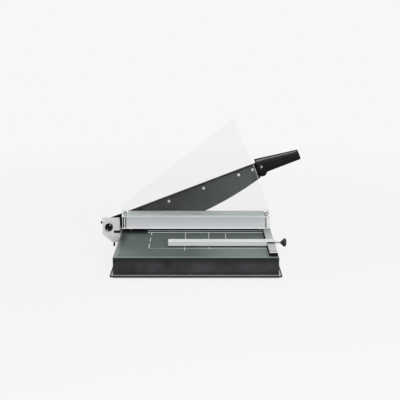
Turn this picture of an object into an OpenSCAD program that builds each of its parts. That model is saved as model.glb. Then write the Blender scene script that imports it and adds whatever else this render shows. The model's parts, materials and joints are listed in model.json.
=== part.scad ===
// Lever paper cutter for A4 sheets.
// A steel table on a black base, a sprung clamp bar with a clear guard, and a
// curved blade on a lever that swings about a pivot at the left rear corner.
// Millimetres. X runs along the cut, +Y points from the user to the blade, +Z is up.
// The origin is the middle of the base on the desk.

/* [Base] */
// Width of the table, along the cut
table_w = 400; // [360:1:440]
// Depth of the base, from its front edge to the cutting plane
base_d = 287; // [270:1:310]
// Thickness of the table plate
table_t = 3; // [2:0.5:5]
// Height of the base walls
wall_h = 40.5; // [36:0.5:46]
// Thickness of the side and front walls
wall_t = 3; // [2:0.5:4]
// Set-back of the front wall between the side walls
front_set = 0.5; // [0:0.1:1]
// Thickness of the bottom plate
plate_t = 3.5; // [3:0.5:6]
// Overhang of the bottom plate past the walls
flange_w = 8; // [5:1:12]
// Corner radius of the bottom plate
flange_r = 4; // [2:0.5:8]
// Height of the rubber ring under the bottom plate
ring_h = 5; // [4:0.5:9]
// Width of the rubber ring's strip
ring_w = 22; // [18:1:26]
// Distance of the ring from the edge of the bottom plate
ring_in = 18; // [10:1:24]
// Distance of the ring's rear edge from the rear beam
ring_rear_in = 2; // [1:0.5:8]
// Thickness of the beam that carries the counter blade
beam_t = 16; // [14:1:18]
// Thickness of each stiffening rib under the table
rib_t = 3; // [2:0.5:5]
// Distance between the two stiffening ribs
rib_pitch = 132; // [90:2:200]
// Distance of the pillars' axes from the table's side edges
pillar_in = 60; // [50:1:80]
// Diameter of the pillars between bottom plate and table
pillar_d = 16; // [12:1:18]
// Thread diameter of the pillar screws
pillar_screw_d = 5; // [4:0.5:6]
// How deep the pillar screws go into the pillars
pillar_bite = 12; // [8:1:20]

/* [Counter blade] */
// Thickness of the counter blade
knife_t = 8; // [6:0.5:10]
// Height of the counter blade
knife_h = 22; // [18:1:28]
// Number of counter blade screws
knife_screws = 5; // [3:1:6]
// Distance between counter blade screws
knife_pitch = 80; // [50:1:84]
// Distance of the screw axis below the table surface
knife_screw_down = 12; // [9:0.5:14]
// Thread diameter of the counter blade screws
knife_screw_d = 5; // [4:0.5:6]
// How deep the screws go into the counter blade
knife_bite = 5; // [3:0.5:5.5]

/* [Side rail and back gauge] */
// Width of the side rail
rail_w = 19; // [15:0.5:24]
// Height of the side rail
rail_h = 9; // [7:0.5:10]
// Distance of the rail from the table's right edge
rail_edge = 3; // [2:0.5:6]
// Distance of the rail's end block from the table's front edge
rail_set = 9.5; // [6:0.5:25]
// Thickness of the black end block
rail_cap_t = 2.5; // [2:0.5:12]
// How far the end block's foot stands out past the rail on each side
rail_cap_flare = 1.5; // [0:0.1:2.5]
// Diameter of the end block's peg
rail_peg_d = 4; // [3:0.5:4.5]
// Length of the end block's peg
rail_peg_l = 8; // [5:1:12]
// Gap between the rail's rear end and the clamp
rail_gap = 16.5; // [2:0.5:20]
// Number of rail screws
rail_screws = 3; // [2:1:5]
// Thread diameter of the rail screws
rail_screw_d = 4; // [3:0.5:5]
// How deep the rail screws go into the rail
rail_bite = 4; // [3:0.5:4.5]
// Length of the gauge bar, left of the rail
gauge_l = 248; // [180:1:300]
// Depth of the gauge bar
gauge_d = 25.5; // [24:0.5:34]
// Distance of the gauge bar from the table's front edge
gauge_set = 86.5; // [70:0.5:150]
// Thickness of the glide strip under the gauge bar
glide_t = 2.4; // [0.8:0.1:3.5]
// Set-back of the glide strip from the gauge bar's faces
glide_in = 0.3; // [0.2:0.1:4]
// Thickness of the slider's plate over the rail
slider_t = 1.4; // [1.2:0.1:2.5]
// Thickness of the liner between that plate and the rail
liner_t = 2.4; // [1.5:0.1:4]
// Length of the slider's tongue in the gauge bar
tongue_l = 26; // [22:1:40]
// Thickness of the slider's skirt outside the rail
skirt_t = 3; // [3:0.1:8]
// Gap between slider and rail, and between skirt and table
slide_gap = 0.3; // [0.2:0.05:0.6]
// Width and depth of the grooves along the gauge bar's front
groove = 0.9; // [0.5:0.1:1.4]
// Diameter of the locking screw
lock_d = 4; // [4:0.5:5.5]
// Distance of the locking screw's axis below the slider's top
lock_down = 5.3; // [4.8:0.1:6]
// Bare length of the locking screw between skirt and knob
lock_bare = 12; // [4:0.5:14]
// Length of the locking knob
knob_l = 15; // [12:0.5:20]
// Diameter of the locking knob over its lobes
knob_d = 22; // [18:0.5:24]
// Diameter of the knob's narrow end
knob_neck_d = 8; // [7:0.5:10]
// Number of lobes on the knob
knob_lobes = 4; // [4:1:7]

/* [Clamp and guard] */
// Distance of the clamp's right end from the table's right edge
clamp_in = 3; // [2:0.5:8]
// Depth of the clamp
clamp_d = 53.5; // [48:0.5:56]
// Height of the clamp bar
clamp_h = 36.4; // [33:0.1:44]
// Distance between the clamp's rear face and the cutting plane
clamp_back = 3.5; // [3:0.1:6]
// Gap for paper under the clamp's pad
clamp_gap = 5.2; // [4.8:0.1:7]
// Wall thickness of the clamp bar
bar_wall = 3; // [2.5:0.1:3.5]
// Thickness of the clamp bar's floor
bar_floor = 4; // [3.5:0.1:5]
// Height of the lips along the clamp's front
lip_h = 3.2; // [2.5:0.1:4.5]
// How far the lips stand out
lip_out = 1.5; // [1:0.1:2]
// Thickness of the lip in front of the guard
lip_t = 2; // [1.5:0.1:3]
// Length of each end cap
cap_l = 11.6; // [10:0.1:14]
// Open joint between end cap and bar
cap_joint = 0.3; // [0.1:0.1:0.6]
// Width of the upright grooves in the end caps' faces
cap_groove_w = 2; // [1.4:0.1:2.4]
// Depth of those grooves
cap_groove_d = 3; // [2:0.1:4]
// Distance of the left cap's second groove from its outer face
cap_groove_in = 4.3; // [3:0.1:6]
// How deep the end cap screws go into the bar
cap_bite = 12; // [8:1:20]
// Length of the end cap's spigot in the bar
spigot_l = 24; // [20:1:30]
// Depth of the spigot, front to back
spigot_d = 24; // [22:0.5:25]
// Width of the end cap's ear
ear_w = 17; // [15:0.5:24]
// Height of the end cap's ear
ear_h = 14; // [12:0.5:20]
// Thickness of the end cap's ear
ear_t = 4; // [3:0.5:6]
// Thickness of the clamp's rubber pad
pad_t = 2; // [1.5:0.1:3]
// How far the pad stands below the bar
pad_out = 0.4; // [0.2:0.1:0.8]
// Width of the clamp's rubber pad
pad_d = 40; // [30:1:44]
// Diameter of the clamp's guide rods
rod_d = 10; // [8:0.5:11]
// Distance of the guide rods behind the clamp's front
rod_back = 20.5; // [20:0.5:22]
// How far each guide rod goes into its spigot
rod_in = 22; // [16:1:26]
// How far each guide rod reaches below its collar
rod_tail = 18; // [14:1:20]
// Wall thickness of the guide bushes
bush_wall = 2; // [1.5:0.1:2.5]
// How far the guide bushes reach below the table plate
bush_down = 9; // [7:0.5:12]
// Thickness of the rod collars and bush flanges
collar_t = 3; // [2:0.5:4]
// Wire diameter of the clamp springs
wire_d = 1.4; // [1:0.1:1.6]
// Number of turns in each clamp spring
spring_turns = 7; // [5:1:8]
// Thickness of the clear guard
guard_t = 3; // [2:0.5:5]
// Depth of the guard's slot in the clamp
slot_d = 5.5; // [4:0.5:7]
// Height of the guard's left edge above the clamp
guard_left_h = 27; // [15:1:60]
// Height of the guard's peak above the clamp
guard_peak_h = 263; // [200:1:300]
// Distance of the guard's peak from its left edge
guard_peak_x = 297; // [250:1:330]
// Height of the guard's right edge above the clamp
guard_right_h = 15; // [13:1:60]
// Corner radius of the guard
guard_r = 5; // [2:0.5:10]
// Distance of the guard screws from the clamp's ends
guard_screw_in = 9.8; // [8:0.1:11]
// Height of the guard screws above the clamp
guard_screw_up = 5.8; // [5.6:0.1:8]

/* [Pivot bracket] */
// Distance of the pivot from the table's left edge
pivot_out = 37.5; // [32:0.5:44]
// Height of the pivot above the table surface
pivot_up = 4.2; // [2:0.1:7]
// Reach of the bracket to the left of the pivot
cheek_left = 18.5; // [17:0.5:24]
// Reach of the bracket to the right of the pivot
cheek_right = 29; // [24:0.5:30]
// Reach of the bracket above the pivot
cheek_up = 25; // [18:0.5:32]
// Reach of the bracket below the pivot
cheek_down = 11; // [9:0.5:14]
// Thickness of the bracket's bearing block, front to back
cheek_t = 28; // [24:1:32]
// How far the bearing block's top falls towards its rear
cheek_fall = 9; // [8:0.5:11]
// Gap between bearing block and cutting plane
cheek_gap = 1; // [0.5:0.1:2]
// Height of the bracket's lower edge above the bottom plate
foot_up = 3; // [1:0.5:6]
// Height of the slot between bearing block and foot of the bracket
foot_slot = 4.8; // [3:0.5:7]
// Thickness of the flange on the base's side wall
side_flange_t = 6; // [4:0.5:8]
// Length of that flange in front of the bearing block
side_flange_l = 26; // [20:1:32]
// Diameter of the pivot shaft
shaft_d = 14; // [12:0.5:15]
// Wall thickness of the pivot bush
pivot_bush_wall = 2; // [1.5:0.1:2.5]
// Diameter of the bearing boss
boss_d = 26; // [24:0.5:28]
// Diameter of the round pivot nut
pivot_nut_d = 21; // [20:0.5:26]
// Thickness of the pivot nut
pivot_nut_t = 6; // [5:0.5:9]
// Thickness of the pivot nut's closed face
nut_face = 2; // [1.8:0.1:2.4]
// Number of notches round the pivot nut
nut_notches = 11; // [8:1:14]
// Thickness of the pivot washers
pivot_washer_t = 1.5; // [1:0.1:2]
// Thread diameter of the bracket's bolts and socket screws
bracket_bolt_d = 6; // [5:0.5:6.5]
// Thread diameter of the levelling screw
level_d = 5; // [4:0.5:6]
// Height of the rubber tip on the levelling screw
level_tip_h = 4; // [3:0.5:5]

/* [Lever and blade] */
// Angle of the lever above the table as shown
rest_angle = 21.2; // [15:0.1:30]
// How far the lever swings down from there
close_angle = 17.6; // [10:0.1:17.8]
// Gap between blade and counter blade
blade_gap = 0.3; // [0.2:0.05:0.5]
// Thickness of the blade
blade_t = 4; // [3:0.5:5]
// Distance of the blade's outer end from the pivot
blade_end = 431.5; // [420:0.5:440]
// Distance of the blade's inner end from the pivot
blade_start = 24; // [22:0.5:28]
// Height of the blade's top edge above the pivot
blade_top = 13.8; // [13:0.1:16]
// Depth of the cutting edge below the pivot at its lowest point
belly_down = 62.7; // [60:0.1:66]
// Distance of that lowest point from the pivot
belly_at = 189; // [170:1:210]
// Radius of the cutting edge
belly_r = 850; // [700:5:1000]
// Height of the bevel behind the cutting edge
bevel_h = 5; // [3:0.5:8]
// Depth of the blade's inner end below the pivot
heel_down = 22; // [18:0.5:24]
// Thickness of the lever arm
arm_t = 8; // [6:0.5:10]
// Depth of the lever arm below the pivot
arm_down = 15; // [13:0.5:16]
// Distance of the first blade screw from the pivot
blade_screw_at = 72; // [60:1:80]
// Distance between blade screws
blade_screw_pitch = 102; // [90:1:104]
// Distance of the last blade screw from the blade's outer end
blade_screw_end = 13.5; // [9:0.5:18]
// Height of the blade screws above the pivot
blade_screw_up = 0.9; // [-2:0.1:4]
// Thread diameter of the blade screws
blade_screw_d = 4; // [3:0.5:5]
// Length of the handle
handle_l = 119; // [105:1:140]
// Thickness of the handle
handle_t = 22; // [20:0.5:26]
// How far the handle stands in front of the cutting plane
handle_front = 2.5; // [1.5:0.1:2.6]
// Height of the handle's collar above the pivot line
collar_up = 24.5; // [22:0.1:30]
// Depth of the handle's collar below the pivot line
collar_down = 28.5; // [22:0.1:30]
// Width of the collar along the lever
collar_l = 24.5; // [20:0.5:30]
// Height of the handle's outer end
handle_end_h = 26.5; // [18:0.5:28]
// Rounding of the handle's outer end
handle_end_r = 6; // [5.2:0.1:8]
// Distance of the handle's middle line below the middle of the arm
handle_drop = 1.3; // [0:0.1:3]
// Fall of the handle's middle line to its outer end
handle_fall = 4.4; // [1:0.1:6]
// Rounding of the handle's long edges
handle_edge = 4; // [2:0.5:5]
// Height of the tang in the handle
tang_h = 14; // [10:0.5:16]
// Length of the tang in the handle
tang_l = 95; // [60:1:100]
// Thread diameter of the handle screw
handle_screw_d = 4; // [3:0.5:5]
// Distance of the handle screw from the handle's inner end
handle_screw_in = 12; // [9:0.5:16]

/* [Fits] */
// Radial gap between a turning or sliding rod and its bush
run_fit = 0.05; // [0.02:0.01:0.09]
// Gap between faces that pass each other
pass_gap = 0.1; // [0.05:0.05:0.3]
// Gap around pieces that are fixed in a recess
seat_gap = 0.1; // [0.05:0.05:0.2]

/* [Hidden] */
$fn = 64;
cut_over = 1;
hull_fn = 32;

// Levels of the base
plate_z = ring_h;
wall_z = plate_z + plate_t;
table_z0 = wall_z + wall_h;
table_z = table_z0 + table_t;
half_w = table_w / 2;
front_y = -base_d / 2;
cut_y = base_d / 2;
knife_y = cut_y - knife_t;
beam_y = knife_y - beam_t;
front_panel_y = front_y + front_set;
ring_x1 = half_w + flange_w - ring_in;
ring_y0 = front_y - flange_w + ring_in;
ring_y1 = beam_y - ring_rear_in;
pillar_ys = [ring_y0 + ring_w / 2, ring_y1 - ring_w / 2];
pillar_head_d = 1.8 * pillar_screw_d;
pillar_head_h = 0.6 * pillar_screw_d;
pillar_head_z = ring_h / 2;
pillar_screw_l = pillar_head_z + plate_t + pillar_bite;

// Levels of the counter blade
knife_z = table_z - knife_screw_down;
knife_xs = [for (i = [0 : knife_screws - 1]) (i - (knife_screws - 1) / 2) * knife_pitch];

// Levels of the clamp
clamp_x0 = -half_w;
clamp_x1 = half_w - clamp_in;
clamp_y1 = cut_y - clamp_back;
clamp_y0 = clamp_y1 - clamp_d;
bar_z0 = table_z + clamp_gap + pad_out;
bar_z1 = bar_z0 + clamp_h;
bar_x0 = clamp_x0 + cap_l + cap_joint;
bar_x1 = clamp_x1 - cap_l - cap_joint;
face_y = clamp_y0 + lip_out;
room_y0 = face_y + bar_wall;
room_y1 = clamp_y1 - bar_wall;
room_z0 = bar_z0 + bar_floor;
room_z1 = bar_z1 - bar_wall;
guard_y = clamp_y0 + lip_t;
slot_y1 = guard_y + guard_t + seat_gap;
corner_wall = 2.5;
port_d = 9;
port_bore = 4;
port_sink = 1;
port_y = room_y1 - port_d / 2 + port_sink;
port_zs = [room_z0 + port_d / 2 - port_sink, room_z1 - port_d / 2 + port_sink];
rod_xs = [clamp_x0 + cap_l + spigot_l / 2, clamp_x1 - cap_l - spigot_l / 2];
rod_y = clamp_y0 + rod_back;
bush_d = rod_d + 2 * (run_fit + bush_wall);
bush_flange_d = bush_d + 4;
bush_z0 = table_z0 - bush_down;
collar_d = bush_d + 3;
collar_z0 = bush_z0 - pass_gap - collar_t;
rod_z0 = collar_z0 - rod_tail;
rod_z1 = room_z0 + seat_gap + rod_in;
pad_y0 = (clamp_y0 + clamp_y1 - pad_d) / 2 + 1;
pad_x0 = rod_xs[0] + rod_d;
pad_x1 = rod_xs[1] - rod_d;

// Levels of the rail and the gauge
rail_x1 = half_w - rail_edge;
rail_x0 = rail_x1 - rail_w;
rail_cap_y0 = front_y + rail_set;
rail_y0 = rail_cap_y0 + rail_cap_t;
rail_y1 = clamp_y0 - rail_gap;
rail_ys = [for (i = [0 : rail_screws - 1]) rail_y0 + (rail_y1 - rail_y0) * (i + 0.5) / rail_screws];
rail_mid_z = table_z + rail_h / 2;
slider_z0 = table_z + rail_h + slide_gap;
slider_plate_z = slider_z0 + liner_t;
gauge_z1 = slider_plate_z + slider_t;
gauge_z0 = table_z + slide_gap + glide_t;
gauge_x1 = rail_x0 - slide_gap;
gauge_x0 = gauge_x1 - gauge_l;
gauge_y0 = front_y + gauge_set;
gauge_mid_y = gauge_y0 + gauge_d / 2;
tongue_x0 = gauge_x1 - tongue_l;
skirt_x0 = rail_x1 + slide_gap;
skirt_x1 = skirt_x0 + skirt_t;
lock_z = gauge_z1 - lock_down;
knob_x0 = skirt_x1 + lock_bare;
tongue_screw_d = 3;

// Levels of the pivot
pivot_x = -half_w - pivot_out;
pivot_z = table_z + pivot_up;
cheek_y1 = cut_y - cheek_gap;
cheek_y0 = cheek_y1 - cheek_t;
arm_y0 = cut_y + blade_gap + blade_t;
boss_y1 = arm_y0 - pivot_washer_t - pass_gap;
pivot_bush_d = shaft_d + 2 * (run_fit + pivot_bush_wall);
cheek_z0 = pivot_z - cheek_down;
foot_z = [wall_z + foot_up, cheek_z0 - foot_slot];
side_flange_y0 = cheek_y0 - side_flange_l;
bracket_rows = [foot_z[0] + 8, foot_z[1] - 8];
bracket_bolt_y = cheek_y0 - side_flange_l / 2;
bracket_bolt_af = 1.7 * bracket_bolt_d;
bracket_nut_t = 0.8 * bracket_bolt_d;
bracket_screw_y = (max(beam_y, cheek_y0) + min(knife_y, cheek_y1)) / 2;
bracket_screw_x = -half_w - 12;
bracket_screw_l = 32;
bracket_head_d = 1.65 * bracket_bolt_d;
level_x = pivot_x + 12;
level_y = cheek_y0 + 4;
level_l = 14;
level_pin_d = 0.6 * level_d;
set_screw_d = 6;
set_screw_z = pivot_z + 8;
set_screw_out = 5.5;
hook_x = [pivot_x + 25, pivot_x + 37];
hook_z = foot_z[0] + 3;
hook_t = 9;
hook_y0 = arm_y0 + 0.5;
hook_y1 = arm_y0 + arm_t + 0.5;
hook_post_h = 20;
closed = rest_angle - close_angle;
bumper_d = 8;
bumper_u = (hook_x[0] + hook_x[1]) / 2 - pivot_x;
bumper_top = pivot_z + (bumper_u - bumper_d / 2) * tan(closed) - arm_down / cos(closed) - blade_gap;

// Stack of pieces on the pivot shaft, from the bracket to the front
disc_t = 1;
disc_cone = 0.6;
disc_count = 2;
disc_stack = disc_count * (disc_t + disc_cone);
disc_y0 = cheek_y0 - pass_gap - disc_stack;
pivot_nut_y = disc_y0 - pivot_washer_t - pivot_nut_t;
shaft_y0 = pivot_nut_y + nut_face + seat_gap;
washer_d = pivot_nut_d - 1;

// Places along the lever
heel_run = 86;
blade_screw_us = concat([for (i = [0 : 3]) blade_screw_at + i * blade_screw_pitch],
                        [blade_end - blade_screw_end]);
handle_y0 = cut_y - handle_front;
handle_mid = (blade_top - arm_down) / 2 - handle_drop;
handle_screw = [blade_end + handle_screw_in, handle_mid + 1.5];
handle_split_y = arm_y0 + arm_t / 2;
handle_head_d = 1.7 * handle_screw_d;

// Colours
BLACK = [0.13, 0.13, 0.14];
TABLE = [0.38, 0.43, 0.42];
ALU = [0.78, 0.79, 0.80];
STEEL = [0.66, 0.67, 0.68];
LEVER = [0.27, 0.29, 0.29];
LIGHT = [0.84, 0.84, 0.84];
RUBBER = [0.09, 0.09, 0.09];
BRASS = [0.75, 0.60, 0.32];
CLEAR = [0.90, 0.93, 0.93, 0.35];

// Turns that point a screw's head
FRONT = [90, 0, 0];
REAR = [-90, 0, 0];
LEFT = [0, -90, 0];
RIGHT = [0, 90, 0];
DOWN = [180, 0, 0];

// Shared shapes

module at(place, turn = [0, 0, 0]) {
    translate(place) rotate(turn) children();
}

// A flat shape in X and Z, given thickness t from y0 backwards
module along_y(y0, t) {
    translate([0, y0 + t, 0]) rotate([90, 0, 0]) linear_extrude(t) children();
}

// A profile in Y and Z, drawn out to length l from x0
module along_x(x0, l) {
    translate([x0, 0, 0]) rotate([90, 0, 90]) linear_extrude(l) children();
}

// The lever's own frame: X along the lever, Z across it, turned to the rest angle
module on_lever() {
    at([pivot_x, 0, pivot_z], [0, -rest_angle, 0]) children();
}

module round_rect(x0, y0, x1, y1, r) {
    translate([x0 + r, y0]) square([x1 - x0 - 2 * r, y1 - y0]);
    translate([x0, y0 + r]) square([x1 - x0, y1 - y0 - 2 * r]);
    for (x = [x0 + r, x1 - r], y = [y0 + r, y1 - r])
        translate([x, y]) circle(r);
}

module box(x, y, z) {
    translate([x[0], y[0], z[0]]) cube([x[1] - x[0], y[1] - y[0], z[1] - z[0]]);
}

module tube(d_out, d_in, h) {
    difference() {
        cylinder(d = d_out, h = h);
        translate([0, 0, -cut_over]) cylinder(d = d_in, h = h + 2 * cut_over);
    }
}

// Screws stand on z = 0: the head is above, the shank below
module socket_screw(d, l, head_d, head_h) {
    difference() {
        union() {
            cylinder(d = head_d, h = head_h);
            translate([0, 0, -l]) cylinder(d = d, h = l);
        }
        translate([0, 0, head_h / 2]) cylinder(d = 0.55 * head_d, h = head_h, $fn = 6);
    }
}

module slotted_screw(d, l, head_d, head_h) {
    slot_w = 0.22 * d;
    difference() {
        union() {
            cylinder(d = head_d, h = head_h);
            translate([0, 0, -l]) cylinder(d = d, h = l);
        }
        translate([-head_d, -slot_w / 2, 0.55 * head_h]) cube([2 * head_d, slot_w, head_h]);
    }
}

module sunk_screw(d, l, head_d) {
    slot_w = 0.22 * d;
    head_h = (head_d - d) / 2;
    difference() {
        union() {
            translate([0, 0, -head_h]) cylinder(d1 = d, d2 = head_d, h = head_h);
            translate([0, 0, -l]) cylinder(d = d, h = l);
        }
        translate([-head_d, -slot_w / 2, -0.4 * head_h]) cube([2 * head_d, slot_w, head_h]);
    }
}

// The room that a sunk screw takes
module sunk_hole(d, l, head_d) {
    head_h = (head_d - d) / 2;
    translate([0, 0, -head_h]) cylinder(d1 = d, d2 = head_d, h = head_h);
    translate([0, 0, -l]) cylinder(d = d, h = l);
    cylinder(d = head_d, h = cut_over);
}

module hex_bolt(d, l, af, head_h) {
    cylinder(d = af / cos(30), h = head_h, $fn = 6);
    translate([0, 0, -l]) cylinder(d = d, h = l);
}

// Outline with each corner replaced by an arc of radius r
function unit(v) = v / norm(v);
function corner_arc(a, b, c, r, steps) =
    let (p = unit(a - b), q = unit(c - b),
         half = acos(p * q) / 2,
         mid = b + unit(p + q) * r / sin(half),
         from = b + p * r / tan(half) - mid,
         to = b + q * r / tan(half) - mid)
    [for (i = [0 : steps]) mid + r * unit(from * (1 - i / steps) + to * i / steps)];
function rounded(points, r, steps = 8) =
    let (n = len(points))
    [for (i = [0 : n - 1])
        each corner_arc(points[(i + n - 1) % n], points[i], points[(i + 1) % n], r, steps)];

// Base

module ring_outline(inset) {
    translate([-ring_x1 + inset, ring_y0 + inset])
        square([2 * (ring_x1 - inset), ring_y1 - ring_y0 - 2 * inset]);
}

module at_pillars() {
    for (x = [-1, 1] * (half_w - pillar_in), y = pillar_ys)
        translate([x, y, 0]) children();
}

module rubber_ring() {
    color(RUBBER) difference() {
        linear_extrude(ring_h) difference() {
            ring_outline(0);
            ring_outline(ring_w);
        }
        at_pillars() {
            translate([0, 0, -cut_over]) cylinder(d = pillar_screw_d, h = ring_h + 2 * cut_over);
            translate([0, 0, -cut_over]) cylinder(d = pillar_head_d, h = pillar_head_z + cut_over);
        }
    }
}

module bottom_plate() {
    x1 = half_w + flange_w;
    y0 = front_y - flange_w;
    color(BLACK) difference() {
        translate([0, 0, plate_z]) linear_extrude(plate_t) {
            round_rect(-x1, y0, x1, y0 + 4 * flange_r, flange_r);
            translate([-x1, y0 + 2 * flange_r]) square([2 * x1, knife_y - y0 - 2 * flange_r]);
        }
        at_pillars() translate([0, 0, plate_z - cut_over])
            cylinder(d = pillar_screw_d, h = plate_t + 2 * cut_over);
    }
}

module pillars() {
    color(STEEL) at_pillars() translate([0, 0, wall_z]) tube(pillar_d, pillar_screw_d, wall_h);
}

module pillar_screws() {
    color(STEEL) at_pillars() at([0, 0, pillar_head_z], DOWN)
        socket_screw(pillar_screw_d, pillar_screw_l, pillar_head_d, pillar_head_h * 0.8);
}

// The bracket's fasteners through the left wall
module bracket_holes(x0, l) {
    for (z = bracket_rows, y = [bracket_bolt_y, bracket_screw_y])
        at([x0, y, z], RIGHT) cylinder(d = bracket_bolt_d, h = l);
}

module left_wall() {
    color(BLACK) difference() {
        box([-half_w, -half_w + wall_t], [front_y, knife_y], [wall_z, table_z0]);
        bracket_holes(-half_w - cut_over, wall_t + 2 * cut_over);
    }
}

module right_wall() {
    color(BLACK) box([half_w - wall_t, half_w], [front_y, knife_y], [wall_z, table_z0]);
}

module front_wall() {
    color(BLACK) box([-1, 1] * (half_w - wall_t), [front_panel_y, front_panel_y + wall_t],
                     [wall_z, table_z0]);
}

module rear_beam() {
    x1 = half_w - wall_t;
    color(BLACK) difference() {
        box([-x1, x1], [beam_y, knife_y], [wall_z, table_z0]);
        for (x = knife_xs)
            at([x, beam_y - cut_over, knife_z], REAR)
                cylinder(d = knife_screw_d, h = beam_t + 2 * cut_over);
        bracket_holes(-x1 - cut_over, bracket_screw_l);
    }
}

module ribs() {
    color(BLACK) for (x = [-1, 1] * rib_pitch / 2)
        box([x - rib_t / 2, x + rib_t / 2], [front_panel_y + wall_t, beam_y], [wall_z, table_z0]);
}

module table_top() {
    edge = table_t / 3;
    color(TABLE) difference() {
        along_x(-half_w, table_w)
            polygon([[front_y, table_z0], [knife_y, table_z0], [knife_y, table_z],
                     [front_y + edge, table_z], [front_y, table_z - edge]]);
        for (x = rod_xs)
            translate([x, rod_y, table_z0 - cut_over]) cylinder(d = bush_d, h = table_t + 2 * cut_over);
        for (y = rail_ys)
            translate([(rail_x0 + rail_x1) / 2, y, table_z0 - cut_over])
                cylinder(d = rail_screw_d, h = table_t + 2 * cut_over);
    }
}

module counter_blade() {
    color(STEEL) difference() {
        box([-half_w, half_w], [knife_y, cut_y], [table_z - knife_h, table_z]);
        for (x = knife_xs)
            at([x, knife_y - cut_over, knife_z], REAR) cylinder(d = knife_screw_d, h = knife_bite + cut_over);
    }
}

module counter_blade_screws() {
    color(STEEL) for (x = knife_xs)
        at([x, beam_y, knife_z], FRONT)
            socket_screw(knife_screw_d, beam_t + knife_bite - seat_gap, 1.7 * knife_screw_d, knife_screw_d);
}

module side_rail() {
    edge = 0.8;
    mid_x = (rail_x0 + rail_x1) / 2;
    z1 = table_z + rail_h;
    color(ALU) difference() {
        along_y(rail_y0, rail_y1 - rail_y0)
            polygon([[rail_x0, table_z], [rail_x1, table_z], [rail_x1, z1 - edge], [rail_x1 - edge, z1],
                     [rail_x0 + edge, z1], [rail_x0, z1 - edge]]);
        for (y = rail_ys)
            translate([mid_x, y, table_z - cut_over]) cylinder(d = rail_screw_d, h = rail_bite + cut_over);
        at([mid_x, rail_y0 - cut_over, rail_mid_z], REAR)
            cylinder(d = rail_peg_d, h = rail_peg_l + cut_over);
    }
}

module rail_screws() {
    color(STEEL) for (y = rail_ys)
        at([(rail_x0 + rail_x1) / 2, y, table_z0], DOWN)
            slotted_screw(rail_screw_d, table_t + rail_bite - seat_gap, 1.8 * rail_screw_d,
                          0.7 * rail_screw_d);
}

module rail_end_block() {
    z1 = table_z + rail_h;
    color(BLACK) {
        along_y(rail_cap_y0, rail_cap_t)
            polygon([[rail_x0 - rail_cap_flare, table_z], [rail_x1 + rail_cap_flare, table_z],
                     [rail_x1, z1], [rail_x0, z1]]);
        at([(rail_x0 + rail_x1) / 2, rail_y0, rail_mid_z], REAR)
            cylinder(d = rail_peg_d, h = rail_peg_l - seat_gap);
    }
}

module guide_bushes() {
    color(BRASS) for (x = rod_xs)
        translate([x, rod_y, 0]) difference() {
            union() {
                translate([0, 0, bush_z0]) cylinder(d = bush_d, h = table_z - bush_z0);
                translate([0, 0, table_z0 - collar_t]) cylinder(d = bush_flange_d, h = collar_t);
            }
            translate([0, 0, bush_z0 - cut_over])
                cylinder(d = rod_d + 2 * run_fit, h = table_z - bush_z0 + 2 * cut_over);
        }
}

// Clamp springs: one wire wound in a helix round each rod's tail
spring_r = rod_d / 2 + wire_d;
spring_z0 = wall_z + wire_d / 2;
spring_rise = collar_z0 - wall_z - wire_d;
turn_rings = 8;
wire_sides = 6;
spring_rings = spring_turns * turn_rings;

function spring_mid(i) =
    let (a = 360 * i / turn_rings)
    [spring_r * cos(a), spring_r * sin(a), spring_z0 + spring_rise * i / spring_rings];
function spring_ring(i) =
    let (a = 360 * i / turn_rings, mid = spring_mid(i))
    [for (k = [0 : wire_sides - 1])
        let (t = 360 * (k + 0.5) / wire_sides)
        mid + wire_d / 2 * [cos(t) * cos(a), cos(t) * sin(a), sin(t)]];
spring_points = [for (i = [0 : spring_rings]) each spring_ring(i)];
spring_sides = [for (i = [0 : spring_rings - 1], k = [0 : wire_sides - 1])
    let (a = i * wire_sides + k, b = i * wire_sides + (k + 1) % wire_sides)
    each [[a, a + wire_sides, b], [b, a + wire_sides, b + wire_sides]]];
spring_ends = [for (k = [1 : wire_sides - 2])
    each [[0, k, k + 1],
          [spring_rings * wire_sides, spring_rings * wire_sides + k + 1, spring_rings * wire_sides + k]]];
spring_gap = min([for (i = [0 : spring_rings], j = [i + turn_rings / 2 : 1 : spring_rings])
    norm(spring_mid(i) - spring_mid(j))]) - wire_d;

module clamp_springs() {
    echo(least_gap_between_spring_turns = spring_gap);
    color(STEEL) for (x = rod_xs)
        translate([x, rod_y, 0]) polyhedron(spring_points, concat(spring_sides, spring_ends));
}

// Pivot bracket

module bracket_outline() {
    left = pivot_x - cheek_left;
    neck = pivot_x + 13;
    round_rect(left, cheek_z0, pivot_x + cheek_right, pivot_z + cheek_up, 3);
    polygon([[left, pivot_z], [left, pivot_z - 22], [pivot_x + 8.5, foot_z[0]], [-half_w, foot_z[0]],
             [-half_w, foot_z[1]], [neck, foot_z[1]], [neck, pivot_z]]);
}

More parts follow.
